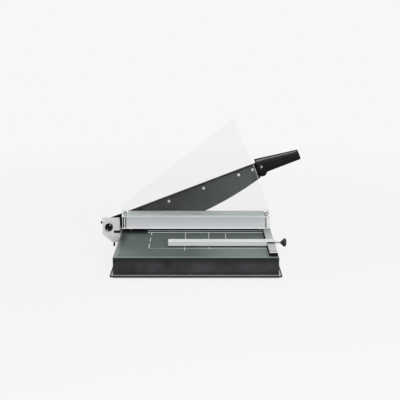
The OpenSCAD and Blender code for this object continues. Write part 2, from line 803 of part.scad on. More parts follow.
module pivot_bracket() {
    left = pivot_x - cheek_left;
    top = pivot_z + cheek_up;
    color(LIGHT) difference() {
        union() {
            along_y(cheek_y0, cheek_t) bracket_outline();
            at([pivot_x, cheek_y0 + cut_over, pivot_z], REAR)
                cylinder(d = boss_d, h = boss_y1 - cheek_y0 - cut_over);
            box([-half_w - side_flange_t, -half_w], [side_flange_y0, cheek_y1], foot_z);
            box(hook_x, [cheek_y1 - 1, hook_y1], [hook_z, hook_z + hook_t]);
            box(hook_x, [hook_y0, hook_y1], [hook_z, hook_z + hook_post_h]);
        }
        along_x(left - cut_over, cheek_left + cheek_right + 2 * cut_over)
            polygon([[cheek_y0 + cut_over, top], [cheek_y1 + cut_over, top + cut_over],
                     [cheek_y1 + cut_over, top - cheek_fall]]);
        at([pivot_x, cheek_y0 - cut_over, pivot_z], REAR)
            cylinder(d = pivot_bush_d, h = boss_y1 - cheek_y0 + 2 * cut_over);
        bracket_holes(bracket_screw_x - cut_over, -half_w - bracket_screw_x + 2 * cut_over);
        for (z = bracket_rows)
            at([left - cut_over, bracket_screw_y, z], RIGHT)
                cylinder(d = bracket_head_d + 2 * seat_gap, h = bracket_screw_x - left + cut_over);
        at([left - cut_over, (cheek_y0 + cheek_y1) / 2, set_screw_z], RIGHT)
            cylinder(d = set_screw_d, h = cheek_left - pivot_bush_d / 2 + cut_over);
        translate([level_x, level_y, foot_z[0] - cut_over]) cylinder(d = level_d, h = level_l + cut_over);
    }
}

module bracket_bolts() {
    l = side_flange_t + wall_t + bracket_nut_t + 1;
    color(STEEL) for (z = bracket_rows)
        at([-half_w - side_flange_t, bracket_bolt_y, z], LEFT)
            hex_bolt(bracket_bolt_d, l, bracket_bolt_af, 0.65 * bracket_bolt_d);
}

module bracket_nuts() {
    color(STEEL) for (z = bracket_rows)
        at([-half_w + wall_t, bracket_bolt_y, z], RIGHT) difference() {
            cylinder(d = bracket_bolt_af / cos(30), h = bracket_nut_t, $fn = 6);
            translate([0, 0, -cut_over]) cylinder(d = bracket_bolt_d, h = bracket_nut_t + 2 * cut_over);
        }
}

module bracket_screws() {
    color(BLACK) for (z = bracket_rows)
        at([bracket_screw_x, bracket_screw_y, z], LEFT)
            socket_screw(bracket_bolt_d, bracket_screw_l, bracket_head_d, bracket_bolt_d);
}

module bracket_set_screw() {
    l = cheek_left - pivot_bush_d / 2 - seat_gap;
    color(BLACK) at([pivot_x - cheek_left, (cheek_y0 + cheek_y1) / 2, set_screw_z], LEFT)
        socket_screw(set_screw_d, l, set_screw_d + 1, set_screw_out);
}

module pivot_bush() {
    color(BRASS) at([pivot_x, cheek_y0, pivot_z], REAR)
        tube(pivot_bush_d, shaft_d + 2 * run_fit, boss_y1 - cheek_y0);
}

module levelling_screw() {
    color(BLACK) translate([level_x, level_y, level_tip_h]) {
        cylinder(d = level_d, h = foot_z[0] + level_l - seat_gap - level_tip_h);
        translate([0, 0, -level_tip_h / 2]) cylinder(d = level_pin_d, h = level_tip_h / 2);
    }
}

module levelling_tip() {
    color(RUBBER) translate([level_x, level_y, 0]) difference() {
        cylinder(d = level_d + 0.5, h = level_tip_h);
        translate([0, 0, level_tip_h / 2]) cylinder(d = level_pin_d, h = level_tip_h);
    }
}

module stop_bumper() {
    color(RUBBER) translate([pivot_x + bumper_u, (hook_y0 + hook_y1) / 2, hook_z + hook_post_h])
        cylinder(d = bumper_d, h = bumper_top - hook_z - hook_post_h);
}

// Clamp

module clamp_outline() {
    polygon([[clamp_y0, bar_z0], [clamp_y1, bar_z0], [clamp_y1, bar_z1], [clamp_y0, bar_z1],
             [clamp_y0, bar_z1 - lip_h], [face_y, bar_z1 - lip_h], [face_y, bar_z0 + lip_h],
             [clamp_y0, bar_z0 + lip_h]]);
}

module guard_slot() {
    translate([guard_y, bar_z1 - slot_d]) square([slot_y1 - guard_y, slot_d + cut_over]);
}

module clamp_room() {
    difference() {
        translate([room_y0, room_z0]) square([room_y1 - room_y0, room_z1 - room_z0]);
        translate([face_y, bar_z1 - slot_d - corner_wall])
            square([slot_y1 + corner_wall - face_y, slot_d + corner_wall]);
        for (z = port_zs)
            translate([port_y, z]) circle(d = port_d);
    }
}

module clamp_bar() {
    color(ALU) difference() {
        along_x(bar_x0, bar_x1 - bar_x0) difference() {
            clamp_outline();
            guard_slot();
            clamp_room();
            for (z = port_zs)
                translate([port_y, z]) circle(d = port_bore);
        }
        box([pad_x0 - seat_gap, pad_x1 + seat_gap], [pad_y0 - seat_gap, pad_y0 + pad_d + seat_gap],
            [bar_z0 - cut_over, bar_z0 + pad_t - pad_out]);
        for (x = rod_xs)
            translate([x, rod_y, bar_z0 - cut_over]) cylinder(d = rod_d + 1, h = bar_floor + 2 * cut_over);
    }
}

module clamp_pad() {
    z0 = bar_z0 - pad_out;
    color(RUBBER) box([pad_x0, pad_x1], [pad_y0, pad_y0 + pad_d], [z0, z0 + pad_t]);
}

// An upright groove between the lips, with its middle at x
module cap_groove(x) {
    box([x - cap_groove_w / 2, x + cap_groove_w / 2], [face_y - cut_over, face_y + cap_groove_d],
        [bar_z0 + lip_h, bar_z1 - lip_h]);
}

// An end cap whose outer face is at x0, reaching to the right
module end_cap(x0, rod_x) {
    spigot = [room_z0 + seat_gap, room_z1 - seat_gap];
    difference() {
        union() {
            along_x(x0, cap_l) difference() {
                clamp_outline();
                guard_slot();
            }
            box([x0 + cap_l - cut_over, x0 + cap_l + spigot_l],
                [rod_y - spigot_d / 2, rod_y + spigot_d / 2], spigot);
            along_y(slot_y1, ear_t) {
                round_rect(x0, bar_z1, x0 + ear_w, bar_z1 + ear_h, 3);
                translate([x0, bar_z1]) square([ear_w, ear_h / 2]);
            }
        }
        cap_groove(x0 + cap_l - cap_groove_w / 2);
        for (z = port_zs)
            at([x0, port_y, z], LEFT) sunk_hole(port_bore, cap_l + cut_over, 2 * port_bore);
        translate([rod_x, rod_y, spigot[0] - cut_over]) cylinder(d = rod_d, h = rod_in + cut_over);
        at([x0 + guard_screw_in, slot_y1 - cut_over, bar_z1 + guard_screw_up], REAR)
            cylinder(d = 5, h = ear_t + 2 * cut_over);
    }
}

module left_end_cap() {
    color(LIGHT) difference() {
        end_cap(clamp_x0, rod_xs[0]);
        cap_groove(clamp_x0 + cap_groove_in);
    }
}

module right_end_cap() {
    color(LIGHT) translate([clamp_x0 + clamp_x1, 0, 0]) mirror([1, 0, 0]) end_cap(clamp_x0, rod_xs[0]);
}

module end_cap_screws() {
    l = cap_l + cap_joint + cap_bite;
    color(STEEL) for (z = port_zs) {
        at([clamp_x0, port_y, z], LEFT) sunk_screw(port_bore, l, 2 * port_bore);
        at([clamp_x1, port_y, z], RIGHT) sunk_screw(port_bore, l, 2 * port_bore);
    }
}

module guide_rods() {
    color(STEEL) for (x = rod_xs)
        translate([x, rod_y, rod_z0]) cylinder(d = rod_d, h = rod_z1 - rod_z0);
}

module rod_collars() {
    color(STEEL) for (x = rod_xs)
        translate([x, rod_y, collar_z0]) tube(collar_d, rod_d, collar_t);
}

guard_screw_xs = [clamp_x0 + guard_screw_in, clamp_x1 - guard_screw_in];
guard_screw_z = bar_z1 + guard_screw_up;
guard_screw_d = 5;
guard_washer_t = 1;

module guard() {
    z0 = bar_z1 - slot_d;
    outline = [[clamp_x0, z0], [clamp_x0, bar_z1 + guard_left_h],
               [clamp_x0 + guard_peak_x, bar_z1 + guard_peak_h],
               [clamp_x1, bar_z1 + guard_right_h], [clamp_x1, z0]];
    color(CLEAR) difference() {
        along_y(guard_y, guard_t) polygon(rounded(outline, guard_r));
        for (x = guard_screw_xs)
            at([x, guard_y - cut_over, guard_screw_z], REAR)
                cylinder(d = guard_screw_d, h = guard_t + 2 * cut_over);
    }
}

module guard_screws() {
    color(STEEL) for (x = guard_screw_xs)
        at([x, guard_y - guard_washer_t, guard_screw_z], FRONT)
            slotted_screw(guard_screw_d, guard_washer_t + guard_t + ear_t, 1.7 * guard_screw_d, 2.6);
}

module guard_washers() {
    color(STEEL) for (x = guard_screw_xs)
        at([x, guard_y - guard_washer_t, guard_screw_z], REAR)
            tube(2 * guard_screw_d + 1, guard_screw_d, guard_washer_t);
}

// Lever

module at_blade_screws(y) {
    on_lever() for (u = blade_screw_us)
        at([u, y, blade_screw_up], FRONT) children();
}

blade_head_d = 2 * blade_screw_d;
blade_y = cut_y + blade_gap;

module blade() {
    heel = blade_start + heel_run;
    color(LEVER) difference() {
        on_lever() intersection() {
            along_y(blade_y, blade_t)
                polygon([[blade_start, blade_top], [blade_start, -heel_down], [heel, -belly_down - 5],
                         [blade_end, -belly_down - 5], [blade_end, blade_top]]);
            at([belly_at, blade_y, belly_r - belly_down], REAR)
                cylinder(r1 = belly_r, r2 = belly_r - bevel_h, h = blade_t, $fn = 360);
        }
        at_blade_screws(blade_y) sunk_hole(blade_screw_d, blade_t + cut_over, blade_head_d);
    }
}

module lever_arm() {
    tang_u = blade_end + tang_l;
    color(LEVER) difference() {
        on_lever() along_y(arm_y0, arm_t) {
            circle(r = blade_top);
            translate([0, -arm_down]) square([blade_end, blade_top + arm_down]);
            translate([blade_end - cut_over, handle_mid - tang_h / 2])
                square([tang_u - blade_end + cut_over, tang_h]);
        }
        on_lever() at([0, arm_y0 - cut_over, 0], REAR) cylinder(d = shaft_d, h = arm_t + 2 * cut_over);
        at_blade_screws(arm_y0 - cut_over) translate([0, 0, -arm_t + cut_over])
            cylinder(d = blade_screw_d, h = arm_t - cut_over);
        on_lever() at([handle_screw[0], arm_y0 - cut_over, handle_screw[1]], REAR)
            cylinder(d = handle_screw_d, h = arm_t + 2 * cut_over);
    }
}

module blade_screws() {
    color(STEEL) at_blade_screws(blade_y) sunk_screw(blade_screw_d, blade_t + arm_t - 2, blade_head_d);
}

module pivot_shaft() {
    rear_head_t = 4;
    color(STEEL) on_lever() {
        at([0, shaft_y0, 0], REAR) cylinder(d = shaft_d, h = arm_y0 + arm_t - shaft_y0);
        at([0, arm_y0 + arm_t, 0], REAR) cylinder(d = shaft_d + 8, h = rear_head_t);
    }
}

module thrust_washer() {
    color(BRASS) on_lever() at([0, arm_y0 - pivot_washer_t, 0], REAR)
        tube(boss_d, shaft_d, pivot_washer_t);
}

module disc_springs() {
    inner = shaft_d / 2;
    outer = pivot_nut_d / 2 - 1.5;
    color(STEEL) on_lever() for (i = [0 : disc_count - 1])
        at([0, disc_y0 + i * (disc_t + disc_cone), 0], REAR) rotate_extrude()
            polygon([[inner, disc_cone], [inner, disc_cone + disc_t], [outer, disc_t], [outer, 0]]);
}

module pivot_washer() {
    color(BLACK) on_lever() at([0, disc_y0 - pivot_washer_t, 0], REAR)
        tube(washer_d, shaft_d, pivot_washer_t);
}

// Places of the two lock pins in the pivot nut
pin_d = 2.6;
pin_r = 7.4;
pin_turn = 40;
pin_deep = 1.6;
pin_out = 0.4;

module at_nut_pins() {
    on_lever() for (side = [-1, 1])
        at([side * pin_r * cos(pin_turn), pivot_nut_y, side * pin_r * sin(pin_turn)], REAR) children();
}

module pivot_nut() {
    notch_d = 2.6;
    color(BLACK) difference() {
        on_lever() at([0, pivot_nut_y, 0], REAR) difference() {
            cylinder(d = pivot_nut_d, h = pivot_nut_t);
            translate([0, 0, nut_face]) cylinder(d = shaft_d, h = pivot_nut_t);
            for (i = [0 : nut_notches - 1])
                rotate(360 * i / nut_notches) translate([(pivot_nut_d + notch_d / 2) / 2, 0, -cut_over])
                    cylinder(d = notch_d, h = pivot_nut_t + 2 * cut_over);
        }
        at_nut_pins() translate([0, 0, -cut_over]) cylinder(d = pin_d, h = pin_deep + cut_over);
    }
}

module nut_pins() {
    color(STEEL) at_nut_pins() translate([0, 0, -pin_out])
        cylinder(d = pin_d, h = pin_out + pin_deep - seat_gap);
}

// Handle: two moulded grips round the tang

// A round corner of the handle at (u, w), with its long edges eased
module grip_corner(u, w, r) {
    at([u, handle_y0, w], REAR) {
        translate([0, 0, handle_edge]) cylinder(r = r, h = handle_t - 2 * handle_edge, $fn = hull_fn);
        cylinder(r = r - handle_edge, h = handle_t, $fn = hull_fn);
    }
}

module handle_form() {
    r = handle_edge + 1;
    u0 = blade_end + r;
    u_end = blade_end + handle_l;
    end_mid = handle_mid - handle_fall;
    end_half = handle_end_h / 2 - handle_end_r;
    waist_r = 9;
    waist_u = blade_end + collar_l;
    collar_rise = 11;
    hull() {
        grip_corner(u0, collar_up - r, r);
        grip_corner(u0, -collar_down + 1 + r, r);
        grip_corner(u0 + 7, -collar_down + r, r);
        grip_corner(waist_u, collar_up - 4 - waist_r, waist_r);
        grip_corner(waist_u - 6, -collar_down + collar_rise + r, r);
    }
    hull() {
        grip_corner(waist_u - 9, collar_up - 2.2 - waist_r, waist_r);
        grip_corner(waist_u - 9, -collar_down + 8.2 + waist_r, waist_r);
        for (side = [-1, 1])
            grip_corner(u_end - handle_end_r, end_mid + side * end_half, handle_end_r);
    }
}

// One grip: the part of the handle between y0 and y1, hollowed for the tang
module grip(y0, y1) {
    reach = 60;
    on_lever() difference() {
        intersection() {
            handle_form();
            box([blade_end - reach, blade_end + handle_l + reach], [y0, y1], [-reach, reach]);
        }
        box([blade_end - reach, blade_end + tang_l + seat_gap], [arm_y0, arm_y0 + arm_t],
            [handle_mid - tang_h / 2 - seat_gap, handle_mid + tang_h / 2 + seat_gap]);
        at([handle_screw[0], handle_y0 - cut_over, handle_screw[1]], REAR) {
            cylinder(d = handle_screw_d, h = handle_t + 2 * cut_over);
            cylinder(d = handle_head_d + 1, h = cut_over + 2);
            translate([0, 0, handle_t + cut_over - 3])
                cylinder(d = 2 * handle_screw_d + 1, h = 3 + cut_over);
        }
    }
}

module front_grip() {
    color(BLACK) grip(handle_y0 - cut_over, handle_split_y);
}

module rear_grip() {
    color(BLACK) grip(handle_split_y, handle_y0 + handle_t + cut_over);
}

module handle_screw() {
    color(STEEL) on_lever() at([handle_screw[0], handle_y0 + 2, handle_screw[1]], FRONT)
        slotted_screw(handle_screw_d, handle_t - 3, handle_head_d, 2);
}

module handle_nut() {
    nut_t = 2.6;
    color(STEEL) on_lever() at([handle_screw[0], handle_y0 + handle_t - 3, handle_screw[1]], REAR)
        difference() {
            cylinder(d = 1.7 * handle_screw_d / cos(30), h = nut_t, $fn = 6);
            translate([0, 0, -cut_over]) cylinder(d = handle_screw_d, h = nut_t + 2 * cut_over);
        }
}

// Back gauge

tongue_screw_xs = [tongue_x0 + 6, gauge_x1 - 6];

module gauge_bar() {
    y1 = gauge_y0 + gauge_d;
    groove_zs = [for (i = [1 : 3]) gauge_z0 + i * (gauge_z1 - gauge_z0) / 4];
    color(ALU) difference() {
        along_x(gauge_x0, gauge_l) difference() {
            translate([gauge_y0, gauge_z0]) square([gauge_d, gauge_z1 - gauge_z0]);
            for (z = groove_zs)
                translate([gauge_y0 - cut_over, z - groove / 2]) square([cut_over + groove, groove]);
        }
        box([tongue_x0 - seat_gap, gauge_x1 + cut_over], [gauge_y0 - cut_over, y1 + cut_over],
            [slider_plate_z, gauge_z1 + cut_over]);
        for (x = tongue_screw_xs)
            translate([x, gauge_mid_y, gauge_z0 - cut_over])
                cylinder(d = tongue_screw_d, h = gauge_z1 - gauge_z0 + 2 * cut_over);
    }
}

module gauge_glide() {
    color(RUBBER) box([gauge_x0 + glide_in, gauge_x1 - glide_in],
                      [gauge_y0 + glide_in, gauge_y0 + gauge_d - glide_in], [gauge_z0 - glide_t, gauge_z0]);
}

module gauge_slider() {
    y = [gauge_y0, gauge_y0 + gauge_d];
    color(ALU) difference() {
        union() {
            box([tongue_x0, skirt_x1], y, [slider_plate_z, gauge_z1]);
            box([skirt_x0, skirt_x1], y, [table_z + slide_gap, gauge_z1]);
        }
        for (x = tongue_screw_xs)
            translate([x, gauge_mid_y, gauge_z1])
                sunk_hole(tongue_screw_d, slider_t + cut_over, 1.7 * tongue_screw_d);
        at([skirt_x0 - cut_over, gauge_mid_y, lock_z], RIGHT)
            cylinder(d = lock_d + 2 * run_fit, h = skirt_t + 2 * cut_over);
    }
}

module slider_liner() {
    color(RUBBER) box([rail_x0, rail_x1], [gauge_y0, gauge_y0 + gauge_d], [slider_z0, slider_plate_z]);
}

module slider_screws() {
    color(STEEL) for (x = tongue_screw_xs)
        translate([x, gauge_mid_y, gauge_z1])
            sunk_screw(tongue_screw_d, gauge_z1 - gauge_z0 - 0.5, 1.7 * tongue_screw_d);
}

module lock_screw() {
    x0 = rail_x1 + pass_gap;
    color(STEEL) at([x0, gauge_mid_y, lock_z], RIGHT) cylinder(d = lock_d, h = knob_x0 + knob_l / 2 - x0);
}

module lock_knob() {
    lobe_d = 0.36 * knob_d;
    lobe_l = 0.6 * knob_l;
    color(BLACK) at([knob_x0, gauge_mid_y, lock_z], RIGHT) difference() {
        union() {
            cylinder(d1 = knob_neck_d, d2 = knob_d - lobe_d, h = knob_l - lobe_l);
            translate([0, 0, knob_l - lobe_l]) {
                cylinder(d = knob_d - lobe_d, h = lobe_l);
                for (i = [0 : knob_lobes - 1])
                    rotate(90 + 360 * i / knob_lobes) translate([(knob_d - lobe_d) / 2, 0, 0])
                        cylinder(d = lobe_d, h = lobe_l);
            }
        }
        translate([0, 0, -cut_over]) cylinder(d = lock_d, h = knob_l / 2 + cut_over);
    }
}

rubber_ring();
bottom_plate();
pillars();
pillar_screws();
left_wall();
right_wall();
front_wall();
rear_beam();
ribs();
table_top();
counter_blade();
counter_blade_screws();
side_rail();
rail_screws();
rail_end_block();
guide_bushes();
clamp_springs();
pivot_bracket();
bracket_bolts();
bracket_nuts();
bracket_screws();
bracket_set_screw();
pivot_bush();
levelling_screw();
levelling_tip();
stop_bumper();
clamp_bar();
left_end_cap();
right_end_cap();
end_cap_screws();
clamp_pad();
guide_rods();
rod_collars();
guard();
guard_screws();
guard_washers();
blade();
lever_arm();
blade_screws();
pivot_shaft();
thrust_washer();
disc_springs();
pivot_washer();
pivot_nut();
nut_pins();
front_grip();
rear_grip();
handle_screw();
handle_nut();
gauge_bar();
gauge_glide();
gauge_slider();
slider_liner();
slider_screws();
lock_screw();
lock_knob();
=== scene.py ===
import json
from math import pi, radians

import bpy
import numpy as np
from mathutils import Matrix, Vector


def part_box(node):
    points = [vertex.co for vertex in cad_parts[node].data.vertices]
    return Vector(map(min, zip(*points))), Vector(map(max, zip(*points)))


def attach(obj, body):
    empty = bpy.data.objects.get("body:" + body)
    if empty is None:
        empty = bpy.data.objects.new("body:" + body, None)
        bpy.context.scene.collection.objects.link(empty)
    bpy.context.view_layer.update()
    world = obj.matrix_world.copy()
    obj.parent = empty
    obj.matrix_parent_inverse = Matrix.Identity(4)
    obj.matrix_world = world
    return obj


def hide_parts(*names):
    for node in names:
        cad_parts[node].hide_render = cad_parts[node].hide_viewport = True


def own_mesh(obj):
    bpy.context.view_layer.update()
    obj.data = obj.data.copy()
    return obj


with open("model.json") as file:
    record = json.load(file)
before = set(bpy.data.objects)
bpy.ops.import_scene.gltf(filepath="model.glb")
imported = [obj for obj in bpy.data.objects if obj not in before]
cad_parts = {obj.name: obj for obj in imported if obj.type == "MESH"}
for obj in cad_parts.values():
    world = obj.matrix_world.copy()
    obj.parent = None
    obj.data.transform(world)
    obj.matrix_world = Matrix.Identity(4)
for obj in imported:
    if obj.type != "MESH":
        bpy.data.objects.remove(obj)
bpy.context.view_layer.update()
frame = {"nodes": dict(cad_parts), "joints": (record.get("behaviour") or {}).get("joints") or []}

# Camera: where the photograph was taken from, found from the corners of the base.
# It stands almost two metres before the cutter and looks a little down on it.
eye = bpy.data.objects.new("eye", bpy.data.cameras.new("eye"))
eye.location = (0.00963, -1.8874, 0.6303)
eye.rotation_euler = (radians(90 - 14.014), 0, 0)
eye.data.sensor_fit = "HORIZONTAL"
eye.data.sensor_width = 36.0
eye.data.lens = 68.755
eye.data.clip_end = 500
bpy.context.scene.collection.objects.link(eye)
bpy.context.scene.camera = eye
bpy.context.scene.view_settings.view_transform = "Standard"


# Floor and room: a plain pale floor that runs out to a pale room.
# Camera, mirror and glass rays see the same pale tone. The floor keeps a faint shadow,
# and under the base, a little way in from the plate's edge, almost all of it.
def tone(r, g, b):
    """Linear colour of a tone that is written as red, green and blue from 0 to 255."""
    share = np.array([r, g, b]) / 255
    low = share / 12.92
    high = ((share + 0.055) / 1.055) ** 2.4
    return tuple(np.where(share <= 0.04045, low, high)) + (1.0,)


def put(tree, kind, sockets=None, **settings):
    """Adds a shader node with its settings; each named socket gets a value or a link."""
    made = tree.nodes.new(kind)
    for key, value in settings.items():
        setattr(made, key, value)
    for key, value in (sockets or {}).items():
        if isinstance(value, bpy.types.NodeSocket):
            tree.links.new(value, made.inputs[key])
        else:
            made.inputs[key].default_value = value
    return made


def sum_up(tree, a, b, how):
    """One value from two: how is the name of a Math node's operation."""
    return put(tree, "ShaderNodeMath", {0: a, 1: b}, operation=how).outputs[0]


def ramp(tree, value, start, end, low=0.0, high=1.0):
    """A value that runs from low at start to high at end, and stays there beyond both."""
    return put(tree, "ShaderNodeMapRange", {"Value": value, "From Min": start, "From Max": end,
                                            "To Min": low, "To Max": high}).outputs[0]


def seen_directly(tree):
    """1 for rays that come from the camera, a mirror or glass, and 0 for the rest."""
    path = put(tree, "ShaderNodeLightPath").outputs
    either = sum_up(tree, path["Is Camera Ray"], path["Is Glossy Ray"], "MAXIMUM")
    return sum_up(tree, either, path["Is Transmission Ray"], "MAXIMUM")


pale = tone(247, 247, 248)
room = bpy.data.worlds.new("room")
room.use_nodes = True
room.node_tree.nodes.clear()
room_light = put(room.node_tree, "ShaderNodeBackground", {"Color": (1, 1, 1, 1), "Strength": 0.45})
room_seen = put(room.node_tree, "ShaderNodeBackground", {"Color": pale, "Strength": 1.0})
room_mix = put(room.node_tree, "ShaderNodeMixShader", {0: seen_directly(room.node_tree),
                                                       1: room_light.outputs[0],
                                                       2: room_seen.outputs[0]})
put(room.node_tree, "ShaderNodeOutputWorld", {"Surface": room_mix.outputs[0]})
bpy.context.scene.world = room

floor_paint = bpy.data.materials.new("floor_paint")
floor_paint.use_nodes = True
floor_tree = floor_paint.node_tree
floor_tree.nodes.clear()
floor_own = put(floor_tree, "ShaderNodeBsdfDiffuse", {"Color": (0.86, 0.86, 0.86, 1)})
floor_glow = put(floor_tree, "ShaderNodeEmission", {"Color": pale, "Strength": 1.0})
floor_place = put(floor_tree, "ShaderNodeTexCoord").outputs["Object"]
floor_off = put(floor_tree, "ShaderNodeVectorMath", {0: floor_place}, operation="LENGTH").outputs["Value"]
floor_at = put(floor_tree, "ShaderNodeSeparateXYZ", {0: floor_place}).outputs
floor_side = put(floor_tree, "ShaderNodeMath", {0: floor_at[0]}, operation="ABSOLUTE").outputs[0]
plate_lo, plate_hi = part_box("bottom_plate")
side_in, depth_in, soft_in = 0.006, 0.009, 0.002
under = ramp(floor_tree, floor_side, plate_hi.x - side_in, plate_hi.x - side_in - soft_in)
for edge_y, inward in ((plate_lo.y, 1), (plate_hi.y, -1)):
    start_y = edge_y + inward * depth_in
    past_edge = ramp(floor_tree, floor_at[1], start_y, start_y + inward * soft_in)
    under = sum_up(floor_tree, under, past_edge, "MULTIPLY")
floor_far = ramp(floor_tree, floor_off, 0.5, 1.8, 0.88, 1.0)
floor_clear = sum_up(floor_tree, floor_far, ramp(floor_tree, under, 0.0, 1.0, 1.0, 0.15), "MULTIPLY")
floor_share = sum_up(floor_tree, seen_directly(floor_tree), floor_clear, "MULTIPLY")
floor_mix = put(floor_tree, "ShaderNodeMixShader", {0: floor_share, 1: floor_own.outputs[0],
                                                    2: floor_glow.outputs[0]})
put(floor_tree, "ShaderNodeOutputMaterial", {"Surface": floor_mix.outputs[0]})
reach = 150.0
floor_mesh = bpy.data.meshes.new("floor")
floor_mesh.from_pydata([(-reach, -reach, 0), (reach, -reach, 0), (reach, reach, 0), (-reach, reach, 0)],
                       [], [(0, 1, 2, 3)])
floor_mesh.materials.append(floor_paint)
floor = bpy.data.objects.new("floor", floor_mesh)
bpy.context.scene.collection.objects.link(floor)


def soft_lamp(name, place, aim, size, watts):
    """A square area lamp at place, turned to shine at aim."""
    lamp = bpy.data.lights.new(name, "AREA")
    lamp.size = size
    lamp.energy = watts
    hung = bpy.data.objects.new(name, lamp)
    hung.location = place
    away = np.array(place) - np.array(aim)
    pitch = np.arctan2(np.hypot(away[0], away[1]), away[2])
    hung.rotation_euler = (pitch, 0, np.arctan2(away[0], -away[1]))
    bpy.context.scene.collection.objects.link(hung)


soft_lamp("lamp_front", (0.4, -2.6, 1.2), (0, 0, 0.1), 1.6, 74)
soft_lamp("lamp_rear_right", (1.7, 0.9, 1.6), (0, 0, 0.05), 1.2, 8)


# Rubber ring: the cutter stands on one moulded strip of black rubber,
# held by the same screws that go up into the pillars.
def finish(name, colour, roughness, metallic=0.0, gleam=0.5):
    """A new material with one Principled shader, and the object coordinates of its piece.

    gleam is how strongly the surface mirrors: 0.5 is a bare lacquer, 0 is chalk.
    """
    made = bpy.data.materials.new(name)
    made.use_nodes = True
    tree = made.node_tree
    tree.nodes.clear()
    shader = put(tree, "ShaderNodeBsdfPrincipled",
                 {"Base Color": colour, "Roughness": roughness, "Metallic": metallic,
                  "Specular IOR Level": gleam})
    put(tree, "ShaderNodeOutputMaterial", {"Surface": shader.outputs[0]})
    place = put(tree, "ShaderNodeTexCoord").outputs["Object"]
    return made, tree, shader, place


def dress(coat, *names):
    """Gives CAD nodes this material in place of their own."""
    for name in names:
        mesh = frame["nodes"][name].data
        mesh.materials.clear()
        mesh.materials.append(coat[0])


def blended(tree, share, low, high):
    """A colour between low and high; each is a colour or the socket of one."""
    mixed = put(tree, "ShaderNodeMix", {0: share}, data_type="RGBA")
    for socket, colour in ((mixed.inputs[6], low), (mixed.inputs[7], high)):
        if isinstance(colour, bpy.types.NodeSocket):
            tree.links.new(colour, socket)
        else:
            socket.default_value = colour
    return mixed.outputs[2]


def lay_over(coat, mask, colour):
    """Lays one colour over a material's own, where mask is 1."""
    tree, shader = coat[1:3]
    under = shader.inputs["Base Color"].links[0].from_socket
    tree.links.new(blended(tree, mask, under, colour), shader.inputs["Base Color"])


def new_group(name, inputs, outputs):
    """An empty shader group with its sockets.

    inputs are rows of label, kind and starting value, and outputs are rows of label and kind.
    """
    group = bpy.data.node_groups.new(name, "ShaderNodeTree")
    for label, kind, start in inputs:
        socket = group.interface.new_socket(label, in_out="INPUT", socket_type="NodeSocket" + kind)
        if start is not None:
            socket.default_value = start
    for label, kind in outputs:
        group.interface.new_socket(label, in_out="OUTPUT", socket_type="NodeSocket" + kind)
    return group, put(group, "NodeGroupInput").outputs


def grain_group():
    """Cast and painted grain: fine noise for the height, fine plus broad noise for the tone."""
    group, given = new_group("grain", [("Place", "Vector", None), ("Per Metre", "Float", 800.0),
                                       ("Patches", "Float", 14.0)],
                             [("Tone", "Float"), ("Height", "Float"), ("Patch", "Float")])
    fine = put(group, "ShaderNodeTexNoise", {"Vector": given["Place"], "Scale": given["Per Metre"],
                                             "Detail": 3.0, "Roughness": 0.6}).outputs["Fac"]
    broad = put(group, "ShaderNodeTexNoise", {"Vector": given["Place"], "Scale": given["Patches"],
                                              "Detail": 4.0, "Roughness": 0.55}).outputs["Fac"]
    both = sum_up(group, sum_up(group, fine, broad, "ADD"), 0.5, "MULTIPLY")
    put(group, "NodeGroupOutput", {"Tone": both, "Height": fine, "Patch": broad})
    return group


def edge_wear_group():
    """Edge band for wear and painted shade: how far a rounded normal turns away from the flat one, broken up
    by noise.

    It also puts out the rounded normal, which makes sharp edges look eased.
    """
    group, given = new_group("edge_wear", [("Place", "Vector", None), ("Radius", "Float", 0.0006)],
                             [("Wear", "Float"), ("Normal", "Vector")])
    eased = put(group, "ShaderNodeBevel", {"Radius": given["Radius"]}, samples=6).outputs[0]
    flat = put(group, "ShaderNodeNewGeometry").outputs["True Normal"]
    turn = put(group, "ShaderNodeVectorMath", {0: eased, 1: flat}, operation="DOT_PRODUCT").outputs["Value"]
    rubbed = put(group, "ShaderNodeTexNoise", {"Vector": given["Place"], "Scale": 220.0, "Detail": 3.0})
    broken = ramp(group, rubbed.outputs["Fac"], 0.35, 0.6, 0.3, 1.0)
    wear = sum_up(group, ramp(group, turn, 0.99, 0.86), broken, "MULTIPLY")
    put(group, "NodeGroupOutput", {"Wear": wear, "Normal": eased})
    return group


grain = grain_group()
edge_wear = edge_wear_group()


def ease_edges(coat, press, wear_and_shade, radius=0.0006):
    """Eases a material's sharp edges and, where wear_and_shade is a colour, lays it along them: wear on most
    pieces, painted shade on the rims of some screws.
    """
    tree, shader, place = coat[1:]
    edges = put(tree, "ShaderNodeGroup", node_tree=edge_wear)
    tree.links.new(place, edges.inputs["Place"])
    edges.inputs["Radius"].default_value = radius
    tree.links.new(edges.outputs["Normal"], press.inputs["Normal"])
    tree.links.new(press.outputs[0], shader.inputs["Normal"])
    if wear_and_shade:
        lay_over(coat, edges.outputs["Wear"], wear_and_shade)


def grained(coat, per_metre, patches, dark, light, depth, gloss, wear_and_shade=None, radius=0.0006):
    """Runs a material's colour between dark and light with the grain, and presses it into the surface.

    gloss is the roughness on shiny and on matt patches, and wear_and_shade the colour of a band along the
    edges.
    """
    tree, shader, place = coat[1:]
    own = put(tree, "ShaderNodeGroup", node_tree=grain)
    tree.links.new(place, own.inputs["Place"])
    own.inputs["Per Metre"].default_value = per_metre
    own.inputs["Patches"].default_value = patches
    share = ramp(tree, own.outputs["Tone"], 0.40, 0.60)
    tree.links.new(blended(tree, share, dark, light), shader.inputs["Base Color"])
    tree.links.new(ramp(tree, own.outputs["Patch"], 0.3, 0.7, *gloss), shader.inputs["Roughness"])
    press = put(tree, "ShaderNodeBump",
                {"Strength": 0.5, "Distance": depth, "Height": own.outputs["Height"]})
    ease_edges(coat, press, wear_and_shade, radius)
    return coat


